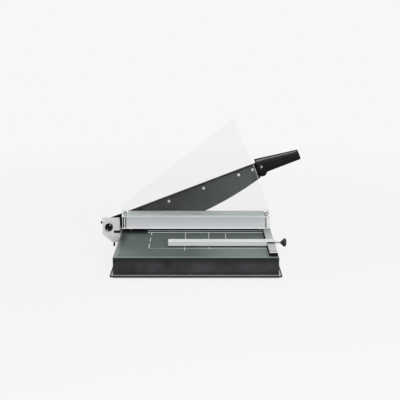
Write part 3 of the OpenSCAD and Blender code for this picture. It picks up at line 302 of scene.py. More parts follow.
rubber = grained(finish("black_rubber", tone(30, 30, 31), 0.82, gleam=0.25), 900, 30,
                 tone(24, 24, 25), tone(38, 38, 39), 0.00012, (0.75, 0.9))
dress(rubber, "rubber_ring", "levelling_tip", "stop_bumper", "clamp_pad")

# Base: folded and welded steel with a charcoal powder coat, with painted shade along the upper and
# lower edges of the walls. Pillars and a rear beam carry the table.
charcoal = grained(finish("charcoal_coat", tone(42, 43, 45), 0.55, gleam=0.1), 650, 22,
                   tone(31, 32, 34), tone(53, 54, 56), 0.00018, (0.48, 0.62), tone(62, 63, 66))
wall_lo, wall_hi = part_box("front_wall")


def lies(coat):
    """Where a point of the surface lies: its X, Y and Z."""
    return put(coat[1], "ShaderNodeSeparateXYZ", {0: coat[3]}).outputs


wall_up = lies(charcoal)[2]
# Painted shade: the walls darken towards the top, under the table's edge, and towards the foot.
for shade_from, shade_to in ((wall_hi.z - 0.016, wall_hi.z - 0.003), (wall_lo.z + 0.009, wall_lo.z)):
    wall_shade = ramp(charcoal[1], wall_up, shade_from, shade_to, 0.0, 0.75)
    lay_over(charcoal, wall_shade, tone(20, 21, 22))
dress(charcoal, "left_wall", "right_wall", "front_wall", "rear_beam", "ribs")

# Bottom plate: a laser-cut plate in a smoother coat, whose edge stands out past the walls as a flange.
# A painted highlight lies on the flange's top next to the walls, and the outer edge stays dark.
plate_coat = grained(finish("smooth_charcoal", tone(44, 45, 47), 0.4, gleam=0.2), 500, 18,
                     tone(38, 39, 41), tone(50, 51, 53), 0.00008, (0.34, 0.46))


def patch_group():
    """A patch of paint: 1 inside a box round Middle with half sizes Half, with soft edges."""
    group, given = new_group("patch", [("Place", "Vector", None), ("Middle", "Vector", None),
                                       ("Half", "Vector", None), ("Soft", "Float", 0.0001)],
                             [("Mask", "Float")])
    off = put(group, "ShaderNodeVectorMath", {0: given["Place"], 1: given["Middle"]}, operation="SUBTRACT")
    size = put(group, "ShaderNodeVectorMath", {0: off.outputs[0]}, operation="ABSOLUTE")
    left = put(group, "ShaderNodeVectorMath", {0: given["Half"], 1: size.outputs[0]}, operation="SUBTRACT")
    parts = put(group, "ShaderNodeSeparateXYZ", {0: left.outputs[0]}).outputs
    least = sum_up(group, sum_up(group, parts[0], parts[1], "MINIMUM"), parts[2], "MINIMUM")
    share = sum_up(group, least, given["Soft"], "DIVIDE")
    put(group, "NodeGroupOutput", {"Mask": ramp(group, share, -1.0, 1.0)})
    return group


patch = patch_group()


def patch_mask(coat, low, high, soft=0.0001):
    """The mask of a patch that reaches from corner low to corner high."""
    tree, place = coat[1], coat[3]
    low, high = np.array(low), np.array(high)
    one = put(tree, "ShaderNodeGroup", node_tree=patch)
    tree.links.new(place, one.inputs["Place"])
    one.inputs["Middle"].default_value = tuple((low + high) / 2)
    one.inputs["Half"].default_value = tuple((high - low) / 2)
    one.inputs["Soft"].default_value = soft
    return one.outputs["Mask"]


def facing(coat):
    """Which way a point's face looks: X, Y and Z of its true normal."""
    flat = put(coat[1], "ShaderNodeNewGeometry").outputs["True Normal"]
    return put(coat[1], "ShaderNodeSeparateXYZ", {0: flat}).outputs


def both(tree, a, b):
    """The part that two masks share."""
    return sum_up(tree, a, b, "MULTIPLY")


table_lo, table_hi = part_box("table_top")
# Painted highlight on the top of the flange, along the walls.
highlight_w = 0.0045
painted_rim_highlight = patch_mask(plate_coat, (table_lo.x - highlight_w, wall_lo.y - highlight_w, 0),
                        (table_hi.x + highlight_w, 1, 1), 0.0003)
plate_top = ramp(plate_coat[1], facing(plate_coat)[2], 0.6, 0.9, 0.0, 0.9)
lay_over(plate_coat, both(plate_coat[1], painted_rim_highlight, plate_top), tone(210, 211, 213))
dress(plate_coat, "bottom_plate")


# Pillars and plain steel pieces: turned bars with fine lathe marks, which show as thin
# changes of tone along the bar, and zinc-plated screws. Some screws are duller, with painted shade on their
# rims.
def strokes_group():
    """Brushed metal: noise that is drawn out along one direction and fine across it."""
    group, given = new_group("strokes", [("Place", "Vector", None), ("Fineness", "Vector", None)],
                             [("Stroke", "Float"), ("Cloud", "Float")])
    drawn = put(group, "ShaderNodeVectorMath", {0: given["Place"], 1: given["Fineness"]},
                operation="MULTIPLY")
    line = put(group, "ShaderNodeTexNoise", {"Vector": drawn.outputs[0], "Scale": 1.0,
                                             "Detail": 4.0, "Roughness": 0.65})
    cloud = put(group, "ShaderNodeTexNoise", {"Vector": given["Place"], "Scale": 9.0, "Detail": 3.0})
    put(group, "NodeGroupOutput", {"Stroke": line.outputs["Fac"], "Cloud": cloud.outputs["Fac"]})
    return group


strokes = strokes_group()


def brushed(coat, fineness, dark, light, gloss, depth, wear_and_shade=None, radius=0.0003):
    """Runs colour and roughness of a metal with its strokes.

    fineness is strokes per metre along X, Y and Z, and wear_and_shade the colour of a band along the edges.
    """
    tree, shader, place = coat[1:]
    own = put(tree, "ShaderNodeGroup", node_tree=strokes)
    tree.links.new(place, own.inputs["Place"])
    own.inputs["Fineness"].default_value = fineness
    share = ramp(tree, own.outputs["Stroke"], 0.3, 0.7)
    tree.links.new(blended(tree, share, dark, light), shader.inputs["Base Color"])
    tree.links.new(ramp(tree, own.outputs["Cloud"], 0.3, 0.7, *gloss), shader.inputs["Roughness"])
    press = put(tree, "ShaderNodeBump",
                {"Strength": 0.4, "Distance": depth, "Height": own.outputs["Stroke"]})
    ease_edges(coat, press, wear_and_shade, radius)
    return coat


bar_steel = brushed(finish("turned_steel", tone(170, 171, 173), 0.35, 0.9), (300, 300, 40),
                    tone(150, 151, 153), tone(188, 189, 191), (0.28, 0.42), 0.00003)
dress(bar_steel, "pillars", "guide_rods", "pivot_shaft", "disc_springs")
zinc = brushed(finish("zinc_plate", tone(208, 209, 211), 0.25, 0.5), (500, 500, 500),
               tone(196, 198, 200), tone(226, 226, 226), (0.22, 0.36), 0.00002)
dress(zinc, "pillar_screws", "counter_blade_screws", "rail_screws", "bracket_bolts", "bracket_nuts",
      "end_cap_screws", "rod_collars", "handle_nut", "slider_screws", "nut_pins")
# These screws' dark edge band is painted shade round their heads.
dull_zinc = brushed(finish("dull_zinc", tone(178, 179, 180), 0.5, 0.0, 0.3), (500, 500, 500),
                    tone(164, 165, 166), tone(192, 193, 194), (0.44, 0.56), 0.00002,
                    tone(48, 49, 50), 0.0012)
dress(dull_zinc, "guard_screws", "blade_screws")
grey_zinc = brushed(finish("grey_zinc", tone(136, 137, 138), 0.5, 0.0, 0.2), (500, 500, 500),
                    tone(124, 125, 126), tone(148, 149, 150), (0.44, 0.56), 0.00002)
dress(grey_zinc, "handle_screw", "lock_screw")


# Table: a steel plate in grey-green hammered paint, with painted sheen towards the front, painted shade at
# the left, along and under the clamp and along the rail, painted highlights on the left rim and the front
# edge, and a pale strip right of the rail. White lines for the edges of common paper sizes are printed on
# it, at their distance from the side rail.
table = grained(finish("table_paint", tone(84, 96, 93), 0.42, gleam=0.1), 420, 11,
                tone(70, 81, 79), tone(96, 108, 105), 0.0002, (0.38, 0.55), tone(178, 189, 187))
table_tree = table[1]
table_x, table_y = lies(table)[:2]
rail_lo, rail_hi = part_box("side_rail")
rail_side = rail_lo.x
clamp_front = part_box("clamp_bar")[0].y


def table_shade(x_span, y_span, strength, colour):
    """Lays a colour over the table, where X and Y have run from the start of their spans to the end."""
    across = ramp(table_tree, table_x, *x_span, 0.0, strength)
    lay_over(table, both(table_tree, across, ramp(table_tree, table_y, *y_span)), colour)


# Painted sheen on the right and left of the front, painted shade at the left end, painted highlights on the
# left rim and front-left corner, and a painted shade line along the left edge.
rim_highlight_tone = tone(138, 146, 144)
painted_sheen_right = ((0.0, 0.08), (-0.045, -0.075), 0.9, tone(122, 134, 132))
painted_sheen_left = ((-0.12, -0.17), (-0.05, -0.10), 0.8, tone(106, 117, 116))
painted_shade_left = ((-0.174, -0.194), (-0.060, 0.010), 1.0, tone(28, 30, 31))
painted_rim_highlight_rear = ((-0.1964, -0.1972), (0.066, 0.054), 0.75, rim_highlight_tone)
painted_rim_highlight_front = ((-0.1940, -0.1948), (0.001, -0.011), 0.75, rim_highlight_tone)
painted_edge_shade = ((-0.1978, -0.1984), (-0.055, -0.035), 0.9, tone(20, 22, 22))
painted_corner_highlight = ((-0.186, -0.192), (-0.045, -0.085), 0.85, tone(140, 149, 147))
for shade in (painted_sheen_right, painted_sheen_left, painted_shade_left, painted_rim_highlight_rear, painted_rim_highlight_front, painted_edge_shade, painted_corner_highlight):
    table_shade(*shade)
# Painted shadow of the clamp on the table in front of it.
painted_clamp_shadow = ramp(table_tree, table_y, clamp_front - 0.055, clamp_front - 0.028, 0.0, 0.75)
lay_over(table, painted_clamp_shadow, tone(68, 78, 75))
table_shade((rail_hi.x - 0.0005, rail_hi.x + 0.0002), (-0.142, -0.134), 1.0, tone(206, 209, 208))
# Painted shadow along the foot of the rail's inner side.
painted_rail_shadow = both(table_tree, ramp(table_tree, table_x, rail_side - 0.0014, rail_side - 0.0010),
                   ramp(table_tree, table_x, rail_side + 0.001, rail_side))
lay_over(table, painted_rail_shadow, tone(18, 20, 20))
# Painted highlight along the front of the top, and painted shade at its very front edge.
for band_from, band_to, band_tone in ((0.0105, 0.0085, tone(150, 161, 159)),
                                      (0.0030, 0.0020, tone(44, 49, 48))):
    band = ramp(table_tree, table_y, table_lo.y + band_from, table_lo.y + band_to, 0.0, 0.6)
    lay_over(table, band, band_tone)

a4_x = rail_side - 0.2965
strip_x = a4_x - 0.012
# Painted shade: a dark strip on the table along the clamp, at its left end.
dark_strip = patch_mask(table, (table_lo.x, clamp_front - 0.029, 0), (strip_x, clamp_front + 0.01, 1), 0.002)
lay_over(table, dark_strip, tone(26, 29, 29))
rear_strip = patch_mask(table, (strip_x, clamp_front - 0.010, 0), (rail_side, clamp_front - 0.001, 1), 0.001)
rear_fade = ramp(table_tree, table_x, a4_x, 0.1, 0.35, 0.95)
lay_over(table, both(table_tree, rear_strip, rear_fade), tone(32, 37, 36))
# Painted shadow under the clamp.
painted_shadow_under_clamp = patch_mask(table, (table_lo.x, clamp_front + 0.0058, 0), (1, clamp_front + 0.040, 1), 0.0005)
lay_over(table, painted_shadow_under_clamp, tone(7, 8, 8))
# Painted light on the table just under the clamp's front edge.
painted_light_under_clamp = patch_mask(table, (strip_x, clamp_front, 0), (rail_side, clamp_front + 0.0054, 1), 0.0005)
lay_over(table, painted_light_under_clamp, tone(206, 211, 209))

rear_y = clamp_front - 0.0155
front_y = clamp_front - 0.1545
line_end = rail_side - 0.001
thin_end = -0.06
lines = []
for y, x0, x1, half in ((rear_y, a4_x - 0.010, line_end, 0.0022),
                        (front_y, a4_x, thin_end, 0.0006),
                        (front_y, thin_end, line_end, 0.0014)):
    lines.append((x0, y - half, x1, y + half))
for x, y0, y1, half in ((-0.0285, -0.0855, rear_y, 0.0007), (0.0325, -0.0735, rear_y, 0.0007),
                        (0.0768, -0.0435, rear_y - 0.008, 0.0007), (a4_x, -0.065, -0.028, 0.001),
                        (a4_x, -0.010, 0.023, 0.001), (a4_x, 0.048, 0.069, 0.001)):
    lines.append((x - half, y0, x + half, y1))
ink = None
for x0, y0, x1, y1 in lines:
    one = patch_mask(table, (x0, y0, 0), (x1, y1, 1))
    ink = one if ink is None else sum_up(table_tree, ink, one, "MAXIMUM")
rubbed = put(table_tree, "ShaderNodeTexNoise", {"Vector": table[3], "Scale": 260.0, "Detail": 3.0})
ink_left = ramp(table_tree, rubbed.outputs["Fac"], 0.30, 0.5, 0.5, 0.95)
lay_over(table, both(table_tree, ink, ink_left), tone(232, 236, 234))
# Painted shade on the table's front face.
painted_front_shade = ramp(table_tree, facing(table)[1], -0.6, -0.9, 0.0, 0.97)
lay_over(table, painted_front_shade, tone(6, 7, 7))
dress(table, "table_top")

# Counter blade: a ground tool-steel bar under the table's rear edge,
# with grinding strokes along its length.
ground_steel = brushed(finish("ground_steel", tone(165, 167, 169), 0.3, 0.9), (30, 900, 900),
                       tone(140, 142, 144), tone(185, 187, 189), (0.22, 0.4), 0.00003)
dress(ground_steel, "counter_blade")

# Side rail: a drawn aluminium bar with a black moulded block at its front end, with painted shade towards
# the rear. Its front end carries a painted highlight with a darker band behind it, and its inner side
# painted shade.
rail_aluminium = brushed(finish("rail_aluminium", tone(190, 192, 192), 0.4, 0.0, 0.3), (900, 25, 900),
                         tone(184, 186, 186), tone(200, 202, 202), (0.4, 0.5), 0.00003, tone(222, 224, 224))
rail_tree = rail_aluminium[1]
# Painted shade towards the rear, by the clamp.
painted_rear_shade = ramp(rail_tree, lies(rail_aluminium)[1], -0.02, 0.05, 0.0, 0.9)
lay_over(rail_aluminium, painted_rear_shade, tone(156, 162, 160))
# Painted highlight across the front end of the top, with a darker band behind it.
for y0, y1, end_band_tone in ((0.0, 0.008, tone(250, 250, 250)), (0.0090, 0.0140, tone(118, 120, 120))):
    band = patch_mask(rail_aluminium, (-1, rail_lo.y + y0 - 0.001, 0), (1, rail_lo.y + y1, 1), 0.0004)
    lay_over(rail_aluminium, band, end_band_tone)
# Painted shade on the inner side.
painted_inner_shade = ramp(rail_tree, facing(rail_aluminium)[0], -0.6, -0.9, 0.0, 0.97)
lay_over(rail_aluminium, painted_inner_shade, tone(14, 16, 16))
dress(rail_aluminium, "side_rail")
black_plastic = grained(finish("black_plastic", tone(9, 9, 10), 0.42, gleam=0.1), 1100, 40,
                        tone(6, 6, 7), tone(12, 12, 13), 0.0001, (0.36, 0.5))
dress(black_plastic, "rail_end_block", "gauge_glide", "slider_liner")

# Pivot bracket: an iron casting in light grey paint, screwed to the side of the base.
# The saw cut above its foot and the side next to the clamp carry painted shade,
# and its screws, the pivot's washer and nut are blackened steel.
casting = grained(finish("light_grey_casting", tone(192, 192, 192), 0.5, gleam=0.3), 380, 35,
                  tone(184, 184, 184), tone(202, 202, 202), 0.00025, (0.42, 0.6), tone(224, 224, 224))
pivot = np.array(next(j for j in frame["joints"] if j["name"] == "lever_swing")["pos_m"])
block_front = pivot[1] - 0.0148
cut_lo, cut_hi = pivot[2] - 0.0186, pivot[2] - 0.0124
block_side, block_rear = pivot[0] + 0.03, pivot[1] + 0.02
# Painted shade in the saw cut and on the side next to the clamp.
painted_cut_shade = patch_mask(casting, (pivot[0] + 0.0120, block_front - 0.001, cut_lo),
                      (block_side, block_rear, cut_hi))
painted_side_shade = patch_mask(casting, (block_side - 0.0015, block_front, cut_lo), (block_side, block_rear, 1))
lay_over(casting, sum_up(casting[1], painted_cut_shade, painted_side_shade, "MAXIMUM"), tone(22, 23, 23))
dress(casting, "pivot_bracket")
black_steel = brushed(finish("blackened_steel", tone(11, 11, 12), 0.5, 0.0, 0.08), (400, 400, 400),
                      tone(5, 5, 6), tone(10, 10, 11), (0.4, 0.55), 0.00003)
dress(black_steel, "guard_washers", "bracket_screws", "bracket_set_screw", "levelling_screw",
      "pivot_washer", "pivot_nut")

# Bushes: turned bronze, pressed into the table for the guide rods and into the bracket
# for the pivot shaft. A bronze washer takes the lever's thrust.
bronze = brushed(finish("turned_bronze", tone(186, 150, 88), 0.35, 0.95), (300, 300, 300),
                 tone(168, 132, 74), tone(202, 168, 104), (0.28, 0.42), 0.00003)
dress(bronze, "guide_bushes", "pivot_bush", "thrust_washer")


# Clamp springs: round wire wound over the tails of the guide rods, with closed end turns.
# They sit on the bottom plate and are fixed to the base at one length; on the cutter they shorten as the
# clamp goes down.
def skin(name, rows, coat, painted_highlight=None):
    """Closed surface from rows of points: each row is a ring, and the two end rings get a flat cap.

    rows is an array of rings by points by xyz; neighbouring rings are joined by four-sided faces.
    painted_highlight is how much painted highlight each point gets, from 0 to 1, and is kept as an attribute
    of the mesh.
    """
    rings, count = rows.shape[:2]
    ring, step = np.meshgrid(np.arange(rings - 1), np.arange(count), indexing="ij")
    a = ring * count + step
    b = ring * count + (step + 1) % count
    faces = np.stack([a, b, b + count, a + count], -1).reshape(-1, 4).tolist()
    faces.append(list(range(count))[::-1])
    faces.append(list(range((rings - 1) * count, rings * count)))
    mesh = bpy.data.meshes.new(name)
    mesh.from_pydata(rows.reshape(-1, 3).tolist(), [], faces)
    mesh.update()
    smooth = np.full(len(mesh.polygons), True)
    smooth[-2:] = False
    mesh.polygons.foreach_set("use_smooth", smooth)
    mesh.materials.append(coat[0])
    if painted_highlight is not None:
        mesh.attributes.new("painted_highlight", "FLOAT", "POINT").data.foreach_set("value", painted_highlight.ravel())
    piece = bpy.data.objects.new(name, mesh)
    bpy.context.scene.collection.objects.link(piece)
    return piece


def wound_wire(middle, radius, wire, z0, z1, turns):
    """Rings of a helix: height eases in and out over the end turns, and a circle of wire follows it."""
    steps_per_turn, shut_turns = 36, 0.992
    along = np.linspace(0, 1, turns * steps_per_turn + 1)
    turn = 2 * pi * turns * along
    eased = along - shut_turns / turns * np.sin(2 * pi * along) / (2 * pi)
    z = z0 + wire / 2 + (z1 - z0 - wire) * eased
    round_wire = np.linspace(0, 2 * pi, 12, endpoint=False)
    out = radius + wire / 2 * np.cos(round_wire)[None, :]
    x = middle[0] + out * np.cos(turn)[:, None]
    y = middle[1] + out * np.sin(turn)[:, None]
    up = z[:, None] + wire / 2 * np.sin(round_wire)[None, :]
    return np.stack([x, y, up], -1)


spring_steel = brushed(finish("spring_steel", tone(150, 151, 154), 0.3, 0.9), (700, 700, 700),
                       tone(128, 129, 132), tone(172, 173, 176), (0.22, 0.36), 0.00002)
spring_lo, spring_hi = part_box("clamp_springs")
rod_lo, rod_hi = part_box("guide_rods")
rod_r = (rod_hi.y - rod_lo.y) / 2
rod_y = rod_lo.y + rod_r
spring_wire, spring_turns = 0.0014, 7
for side, x in (("left", rod_lo.x + rod_r), ("right", rod_hi.x - rod_r)):
    coil_rows = wound_wire((x, rod_y), rod_r + spring_wire, spring_wire,
                           spring_lo.z, spring_hi.z, spring_turns)
    coil = skin("clamp_spring_" + side, coil_rows, spring_steel)
    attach(coil, "base")
    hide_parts("clamp_springs")
    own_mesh(coil)

# Clamp: a drawn box of satin anodised aluminium with a lip along the top and bottom of its front.
# Painted light brightens the front towards its foot and on both lips, and painted shade darkens the top,
# the lower edge and both ends of the front.
clamp_lo, clamp_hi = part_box("clamp_bar")
anodised = brushed(finish("satin_anodised", tone(170, 174, 176), 0.5, 0.0, 0.25), (8, 400, 400),
                   tone(164, 169, 170), tone(174, 178, 180), (0.46, 0.56), 0.00002, tone(204, 206, 207))
clamp_tree = anodised[1]
clamp_up = lies(anodised)[2]
# Painted light towards the foot of the front.
painted_light_foot = ramp(clamp_tree, clamp_up, clamp_lo.z + 0.026, clamp_lo.z + 0.003, 0.0, 0.9)
lay_over(anodised, painted_light_foot, tone(196, 197, 200))
lip = 0.0033
end_half = 0.0009
front_skin = clamp_lo.y + 0.0003
painted_seam_shade = tone(14, 15, 16)
# Painted highlights along the bottom and top lips of the front.
for lip_z, lip_tone in ((clamp_lo.z, tone(243, 244, 245)), (clamp_hi.z - lip, tone(194, 201, 200))):
    lip_mask = patch_mask(anodised, (-1, -1, lip_z), (1, front_skin, lip_z + lip), 0.0002)
    lay_over(anodised, both(clamp_tree, lip_mask, 0.9), lip_tone)
# Painted shade at both ends of the front, where the bar meets its caps.
for end_x in (clamp_lo.x, clamp_hi.x):
    end_mask = patch_mask(anodised, (end_x - end_half, -1, clamp_lo.z + lip),
                          (end_x + end_half, front_skin, clamp_hi.z - lip))
    lay_over(anodised, end_mask, painted_seam_shade)
# Painted shade along the lower edge of the lip.
lower_edge = ramp(clamp_tree, clamp_up, clamp_lo.z + 0.0008, clamp_lo.z + 0.0006)
lay_over(anodised, lower_edge, tone(20, 21, 22))
# Painted shade on the top faces.
painted_clamp_top_shade = ramp(clamp_tree, facing(anodised)[2], 0.6, 0.9, 0.0, 0.9)
lay_over(anodised, painted_clamp_top_shade, tone(150, 157, 155))
dress(anodised, "clamp_bar")

# End caps: light painted castings that close the bar, carry the guide rods, and hold the guard
# by their ears. Their tops carry painted shade, and painted shade marks the upright grooves where they
# meet the bar and in the left cap, wider than the cut grooves, and a line at the left cap's outer edge.
cap_paint = grained(finish("cap_paint", tone(198, 200, 200), 0.45, gleam=0.3), 500, 40,
                    tone(190, 192, 192), tone(206, 208, 208), 0.00015, (0.38, 0.54), tone(222, 223, 223))
cap_tree = cap_paint[1]
# Painted shade on the top faces.
painted_cap_top_shade = ramp(cap_tree, facing(cap_paint)[2], 0.6, 0.9, 0.0, 0.9)
lay_over(cap_paint, painted_cap_top_shade, tone(160, 166, 165))
cap_ears = ramp(cap_tree, lies(cap_paint)[2], clamp_hi.z, clamp_hi.z + 0.0005, 0.0, 0.9)
lay_over(cap_paint, cap_ears, tone(176, 181, 180))
groove_w = 0.0036
groove_back = clamp_lo.y + 0.0048
cap_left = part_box("left_end_cap")[0].x
# Painted shade in the upright grooves, wider than the cut, and along the left cap's outer edge.
for groove_x in (clamp_lo.x - 0.0013, clamp_lo.x - 0.0076, clamp_hi.x + 0.0010, cap_left - 0.0006):
    groove = patch_mask(cap_paint, (groove_x - groove_w / 2, clamp_lo.y - 0.001, clamp_lo.z + lip),
                        (groove_x + groove_w / 2, groove_back, clamp_hi.z - lip))
    lay_over(cap_paint, groove, painted_seam_shade)
dress(cap_paint, "left_end_cap", "right_end_cap")

# Guard: a clear acrylic sheet, cut to a triangle and polished, in a slot along the clamp.
# Light passes to what is behind it, so its shadow is faint, and its cut edges are as pale as its faces.
clear = finish("clear_acrylic", (0.955, 0.95, 0.955, 1), 0.03)
clear_tree, clear_shader = clear[1:3]
clear_shader.inputs["Transmission Weight"].default_value = 1.0
clear_shader.inputs["IOR"].default_value = 1.2
clear_shadow = put(clear_tree, "ShaderNodeLightPath").outputs["Is Shadow Ray"]
clear_face = put(clear_tree, "ShaderNodeMath", {0: facing(clear)[1]}, operation="ABSOLUTE").outputs[0]
clear_alpha = both(clear_tree, ramp(clear_tree, clear_shadow, 0.0, 1.0, 1.0, 0.06),
                   ramp(clear_tree, clear_face, 0.3, 0.7, 0.4, 1.0))
clear_tree.links.new(clear_alpha, clear_shader.inputs["Alpha"])
dress(clear, "guard")

# Lever: a flat steel arm in black, with the blade screwed to its front.
# The blade is dark with painted light growing towards the handle, black along its edges, along its top
# edge and next to the grip, with painted shade on its downward faces and a painted highlight along its end,
# broken by specks.
arm_paint = grained(finish("black_arm_paint", tone(12, 13, 13), 0.65, gleam=0.04), 600, 20,
                    tone(9, 10, 10), tone(15, 16, 16), 0.00015, (0.55, 0.7))
dress(arm_paint, "lever_arm")
black_edge = tone(9, 10, 10)
dark_blade = grained(finish("dark_blade", tone(34, 36, 35), 0.5, gleam=0.06), 420, 9,
                     tone(24, 26, 25), tone(42, 44, 43), 0.00015, (0.42, 0.56), black_edge, 0.0012)
blade_tree = dark_blade[1]
blade_lo, blade_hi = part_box("blade")
# Painted light, growing towards the handle.
painted_light_to_handle = ramp(blade_tree, lies(dark_blade)[0], blade_lo.x + 0.16, blade_hi.x, 0.0, 0.9)
lay_over(dark_blade, painted_light_to_handle, tone(58, 65, 63))
rest = radians(21.2)
lever_u = np.array([np.cos(rest), 0, np.sin(rest)])
lever_w = np.array([-np.sin(rest), 0, np.cos(rest)])


def along_lever(coat, axis):
    """How far a point lies from the pivot along one axis of the lever at rest."""
    dot = put(coat[1], "ShaderNodeVectorMath", {0: coat[3], 1: tuple(axis)}, operation="DOT_PRODUCT")
    return sum_up(coat[1], dot.outputs["Value"], float(pivot @ axis), "SUBTRACT")


blade_u = along_lever(dark_blade, lever_u)
blade_w = along_lever(dark_blade, lever_w)
blade_top = 0.0138
grip_start = 0.4315
# Black along the top edge and next to the grip, and painted shade on the downward faces.
for black_mask in (ramp(blade_tree, blade_w, blade_top - 0.0036, blade_top - 0.0030),
                   ramp(blade_tree, blade_u, grip_start - 0.0060, grip_start - 0.0056),
                   ramp(blade_tree, facing(dark_blade)[2], -0.15, -0.3)):
    lay_over(dark_blade, black_mask, black_edge)
# Painted highlight along the blade's end, broken by specks.
painted_end_highlight = both(blade_tree, ramp(blade_tree, blade_u, grip_start - 0.0074, grip_start - 0.0072),
                ramp(blade_tree, blade_u, grip_start - 0.0058, grip_start - 0.0060))
specks = put(blade_tree, "ShaderNodeTexNoise", {"Vector": dark_blade[3], "Scale": 180.0, "Detail": 2.0})
line_left = ramp(blade_tree, specks.outputs["Fac"], 0.35, 0.5, 0.2, 0.95)
lay_over(dark_blade, both(blade_tree, painted_end_highlight, line_left), tone(188, 192, 190))
dress(dark_blade, "blade")

# Handle: two black moulded grips that meet on the middle plane of the arm's tang.
# A collar guards the fingers, and the upper edge of the front carries a grey painted highlight.
grip_end = 0.5505
grip_lo, grip_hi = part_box("front_grip")[0].y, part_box("rear_grip")[1].y
part_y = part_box("front_grip")[1].y
screw_lo, screw_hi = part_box("handle_screw")
screw_mid = np.array([(screw_lo.x + screw_hi.x) / 2, (screw_lo.z + screw_hi.z) / 2])
screw_u = (screw_mid - pivot[[0, 2]]) @ lever_u[[0, 2]]
# Painted highlight on the grips, from their mesh attribute.
grip_highlight = put(black_plastic[1], "ShaderNodeAttribute", attribute_name="painted_highlight").outputs["Fac"]
lay_over(black_plastic, grip_highlight, tone(132, 132, 132))


def ease(x):
    """Smooth step from 0 to 1."""
    x = np.clip(x, 0, 1)
    return x * x * (3 - 2 * x)


def grip_half(front):
    """Rings of one moulded half, from the collar to the end.

    The top falls straight to the end. The bottom has a collar that runs out in a smooth step.
    Each section is half a superellipse, closed by a straight line on the parting plane, and
    the section draws in by a quarter circle at both ends. A round pocket sinks the screw.
    It also gives each point's share of painted highlight: a bell curve on the upper edge of the front.
    """
    start_r, end_r = 0.0018, 0.0028
    screw_from, screw_to = screw_u - 0.006, screw_u + 0.006
    collar_h, collar_len, collar_run = 0.0079, 0.0125, 0.012
    lead_h, lead_len = 0.0018, 0.009
    u = np.concatenate([grip_start + start_r * (1 - np.cos(np.linspace(0, pi / 2, 10))),
                        np.linspace(grip_start + start_r, screw_from, 8)[1:],
                        np.linspace(screw_from, screw_to, 49)[1:],
                        np.linspace(screw_to, grip_end - end_r, 90)[1:],
                        grip_end - end_r + end_r * np.sin(np.linspace(0, pi / 2, 16))[1:]])
    along = (u - grip_start) / (grip_end - grip_start)
    top = 0.0245 - 0.0176 * along
    collar = collar_h * (1 - ease((u - grip_start - collar_len) / collar_run))
    collar = collar - lead_h * (1 - ease((u - grip_start) / lead_len))
    low = -0.0204 + 0.0006 * along - collar
    q0 = np.clip((grip_start + start_r - u) / start_r, 0, 1)
    q1 = np.clip((u - grip_end + end_r) / end_r, 0, 1)
    inset = start_r * (1 - np.sqrt(1 - q0 ** 2)) + end_r * (1 - np.sqrt(1 - q1 ** 2))
    tall = (top - low) / 2 - inset
    mid = (top + low) / 2
    seam = 0.00012
    deep = (part_y - grip_lo if front else grip_hi - part_y) - inset - seam
    deep = deep * (1 - 0.08 * ease((along - 0.15) / 0.5))
    power = 3.6
    across = np.sin(np.linspace(-pi / 2, pi / 2, 151))
    out = np.clip(1 - np.abs(across) ** power, 0, 1) ** (1 / power)
    back = np.linspace(1, -1, 9)[1:-1]
    across = np.concatenate([across, back])
    out = np.concatenate([out, np.zeros(len(back))])
    w = mid[:, None] + tall[:, None] * across[None, :]
    step = deep[:, None] * out[None, :] + seam
    long = np.broadcast_to(u[:, None], w.shape)
    x = pivot[0] + long * np.cos(rest) - w * np.sin(rest)
    z = pivot[2] + long * np.sin(rest) + w * np.cos(rest)
    near = np.hypot(x - screw_mid[0], z - screw_mid[1])
    pocket_r, pocket_d = (0.0038, 0.0021) if front else (0.0044, 0.0030)
    pocket_wall = 0.0005
    pocket = pocket_d * (1 - ease((near - pocket_r) / pocket_wall)) * (out > 0.3)
    y = part_y - (step - pocket) if front else part_y + step - pocket
    rows = np.stack([x, y, z], -1)
    painted_highlight = np.exp(-((across - 0.85) / 0.065) ** 2) * (out > 0.1) * front
    ends = ease((along - 0.01) / 0.04) * ease((0.985 - along) / 0.03)
    painted_highlight = 0.85 * ends[:, None] * painted_highlight[None, :]
    return (rows, painted_highlight) if front else (rows[:, ::-1], painted_highlight[:, ::-1])


for name, front in (("front_grip", True), ("rear_grip", False)):
    rows, painted_highlight = grip_half(front)
    half = skin("moulded_" + name, rows, black_plastic, painted_highlight=painted_highlight)
    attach(half, "lever")
    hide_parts(name)

# Back gauge: a grooved aluminium bar with a slider that laps over the side rail.
# Its front faces carry painted shade, darkest on the slider's lip over the rail.
gauge_aluminium = brushed(finish("gauge_aluminium", tone(231, 233, 232), 0.4, 0.0, 0.3), (25, 900, 900),
                          tone(226, 229, 228), tone(236, 238, 237), (0.32, 0.42), 0.00003,
                          tone(236, 237, 237))
gauge_tree = gauge_aluminium[1]
# Painted shade on the front faces.
gauge_front_shade = ramp(gauge_tree, facing(gauge_aluminium)[1], -0.6, -0.9, 0.0, 0.95)
lay_over(gauge_aluminium, gauge_front_shade, tone(176, 179, 178))
liner_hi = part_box("slider_liner")[1]
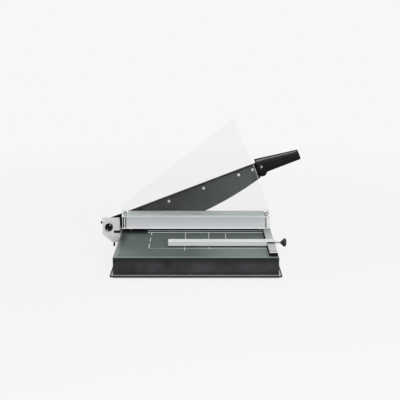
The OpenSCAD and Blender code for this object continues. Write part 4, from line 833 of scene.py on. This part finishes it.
# Darker painted shade on the slider's front lip over the rail.
over_rail = patch_mask(gauge_aluminium, (rail_lo.x, -1, liner_hi.z - 0.0005), (1, 1, 1))
lay_over(gauge_aluminium, both(gauge_tree, over_rail, gauge_front_shade), tone(24, 25, 25))
dress(gauge_aluminium, "gauge_bar", "gauge_slider")

# Locking knob: a lobed black moulding on a plated screw.
# Its neck flares into the lobes, and the outer end is domed.
knob_lo, knob_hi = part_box("lock_knob")
lock_lo, lock_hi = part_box("lock_screw")
knob_axis = np.array([(lock_lo.y + lock_hi.y) / 2, (lock_lo.z + lock_hi.z) / 2])


def lobed_knob():
    """Rings of the knob, from the neck to the domed end.

    The radius flares from neck to lobes in a smooth step, the lobes are a cosine round the axis,
    the foot of the neck is eased, and the dome is a quarter ellipse.
    """
    foot_at, dome_at, lobes = 0.06, 0.7, 4
    dome_len = 0.3
    along = np.concatenate([np.linspace(0, foot_at, 8), np.linspace(foot_at, dome_at, 40)[1:],
                            dome_at + dome_len * np.sin(np.linspace(0, pi / 2, 24))[1:]])
    turn = np.linspace(0, 2 * pi, 150, endpoint=False)
    neck, mean, lobe = 0.0040, 0.0087, 0.0023
    flare = ease((along - 0.08) / 0.55)
    dome = np.sqrt(np.clip(1 - (np.clip(along - dome_at, 0, 1) / dome_len * 0.97) ** 2, 0, 1))
    foot = np.sqrt(np.clip(1 - (np.clip(foot_at - along, 0, 1) / foot_at * 0.4) ** 2, 0, 1))
    plain = (neck + (mean - neck) * flare) * foot
    wave = lobe * flare[:, None] * np.cos(lobes * turn)[None, :]
    r = (plain[:, None] + wave) * (0.35 + 0.65 * dome)[:, None]
    x = knob_lo.x + (knob_hi.x - knob_lo.x) * along
    return np.stack([np.broadcast_to(x[:, None], r.shape), knob_axis[0] + r * np.cos(turn)[None, :],
                     knob_axis[1] + r * np.sin(turn)[None, :]], -1)


satin_plastic = grained(finish("satin_black_plastic", tone(34, 34, 35), 0.45, gleam=0.2), 1100, 40,
                        tone(28, 28, 29), tone(40, 40, 41), 0.0001, (0.4, 0.5))
knob = skin("lobed_lock_knob", lobed_knob(), satin_plastic)
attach(knob, "knob")
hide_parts("lock_knob")
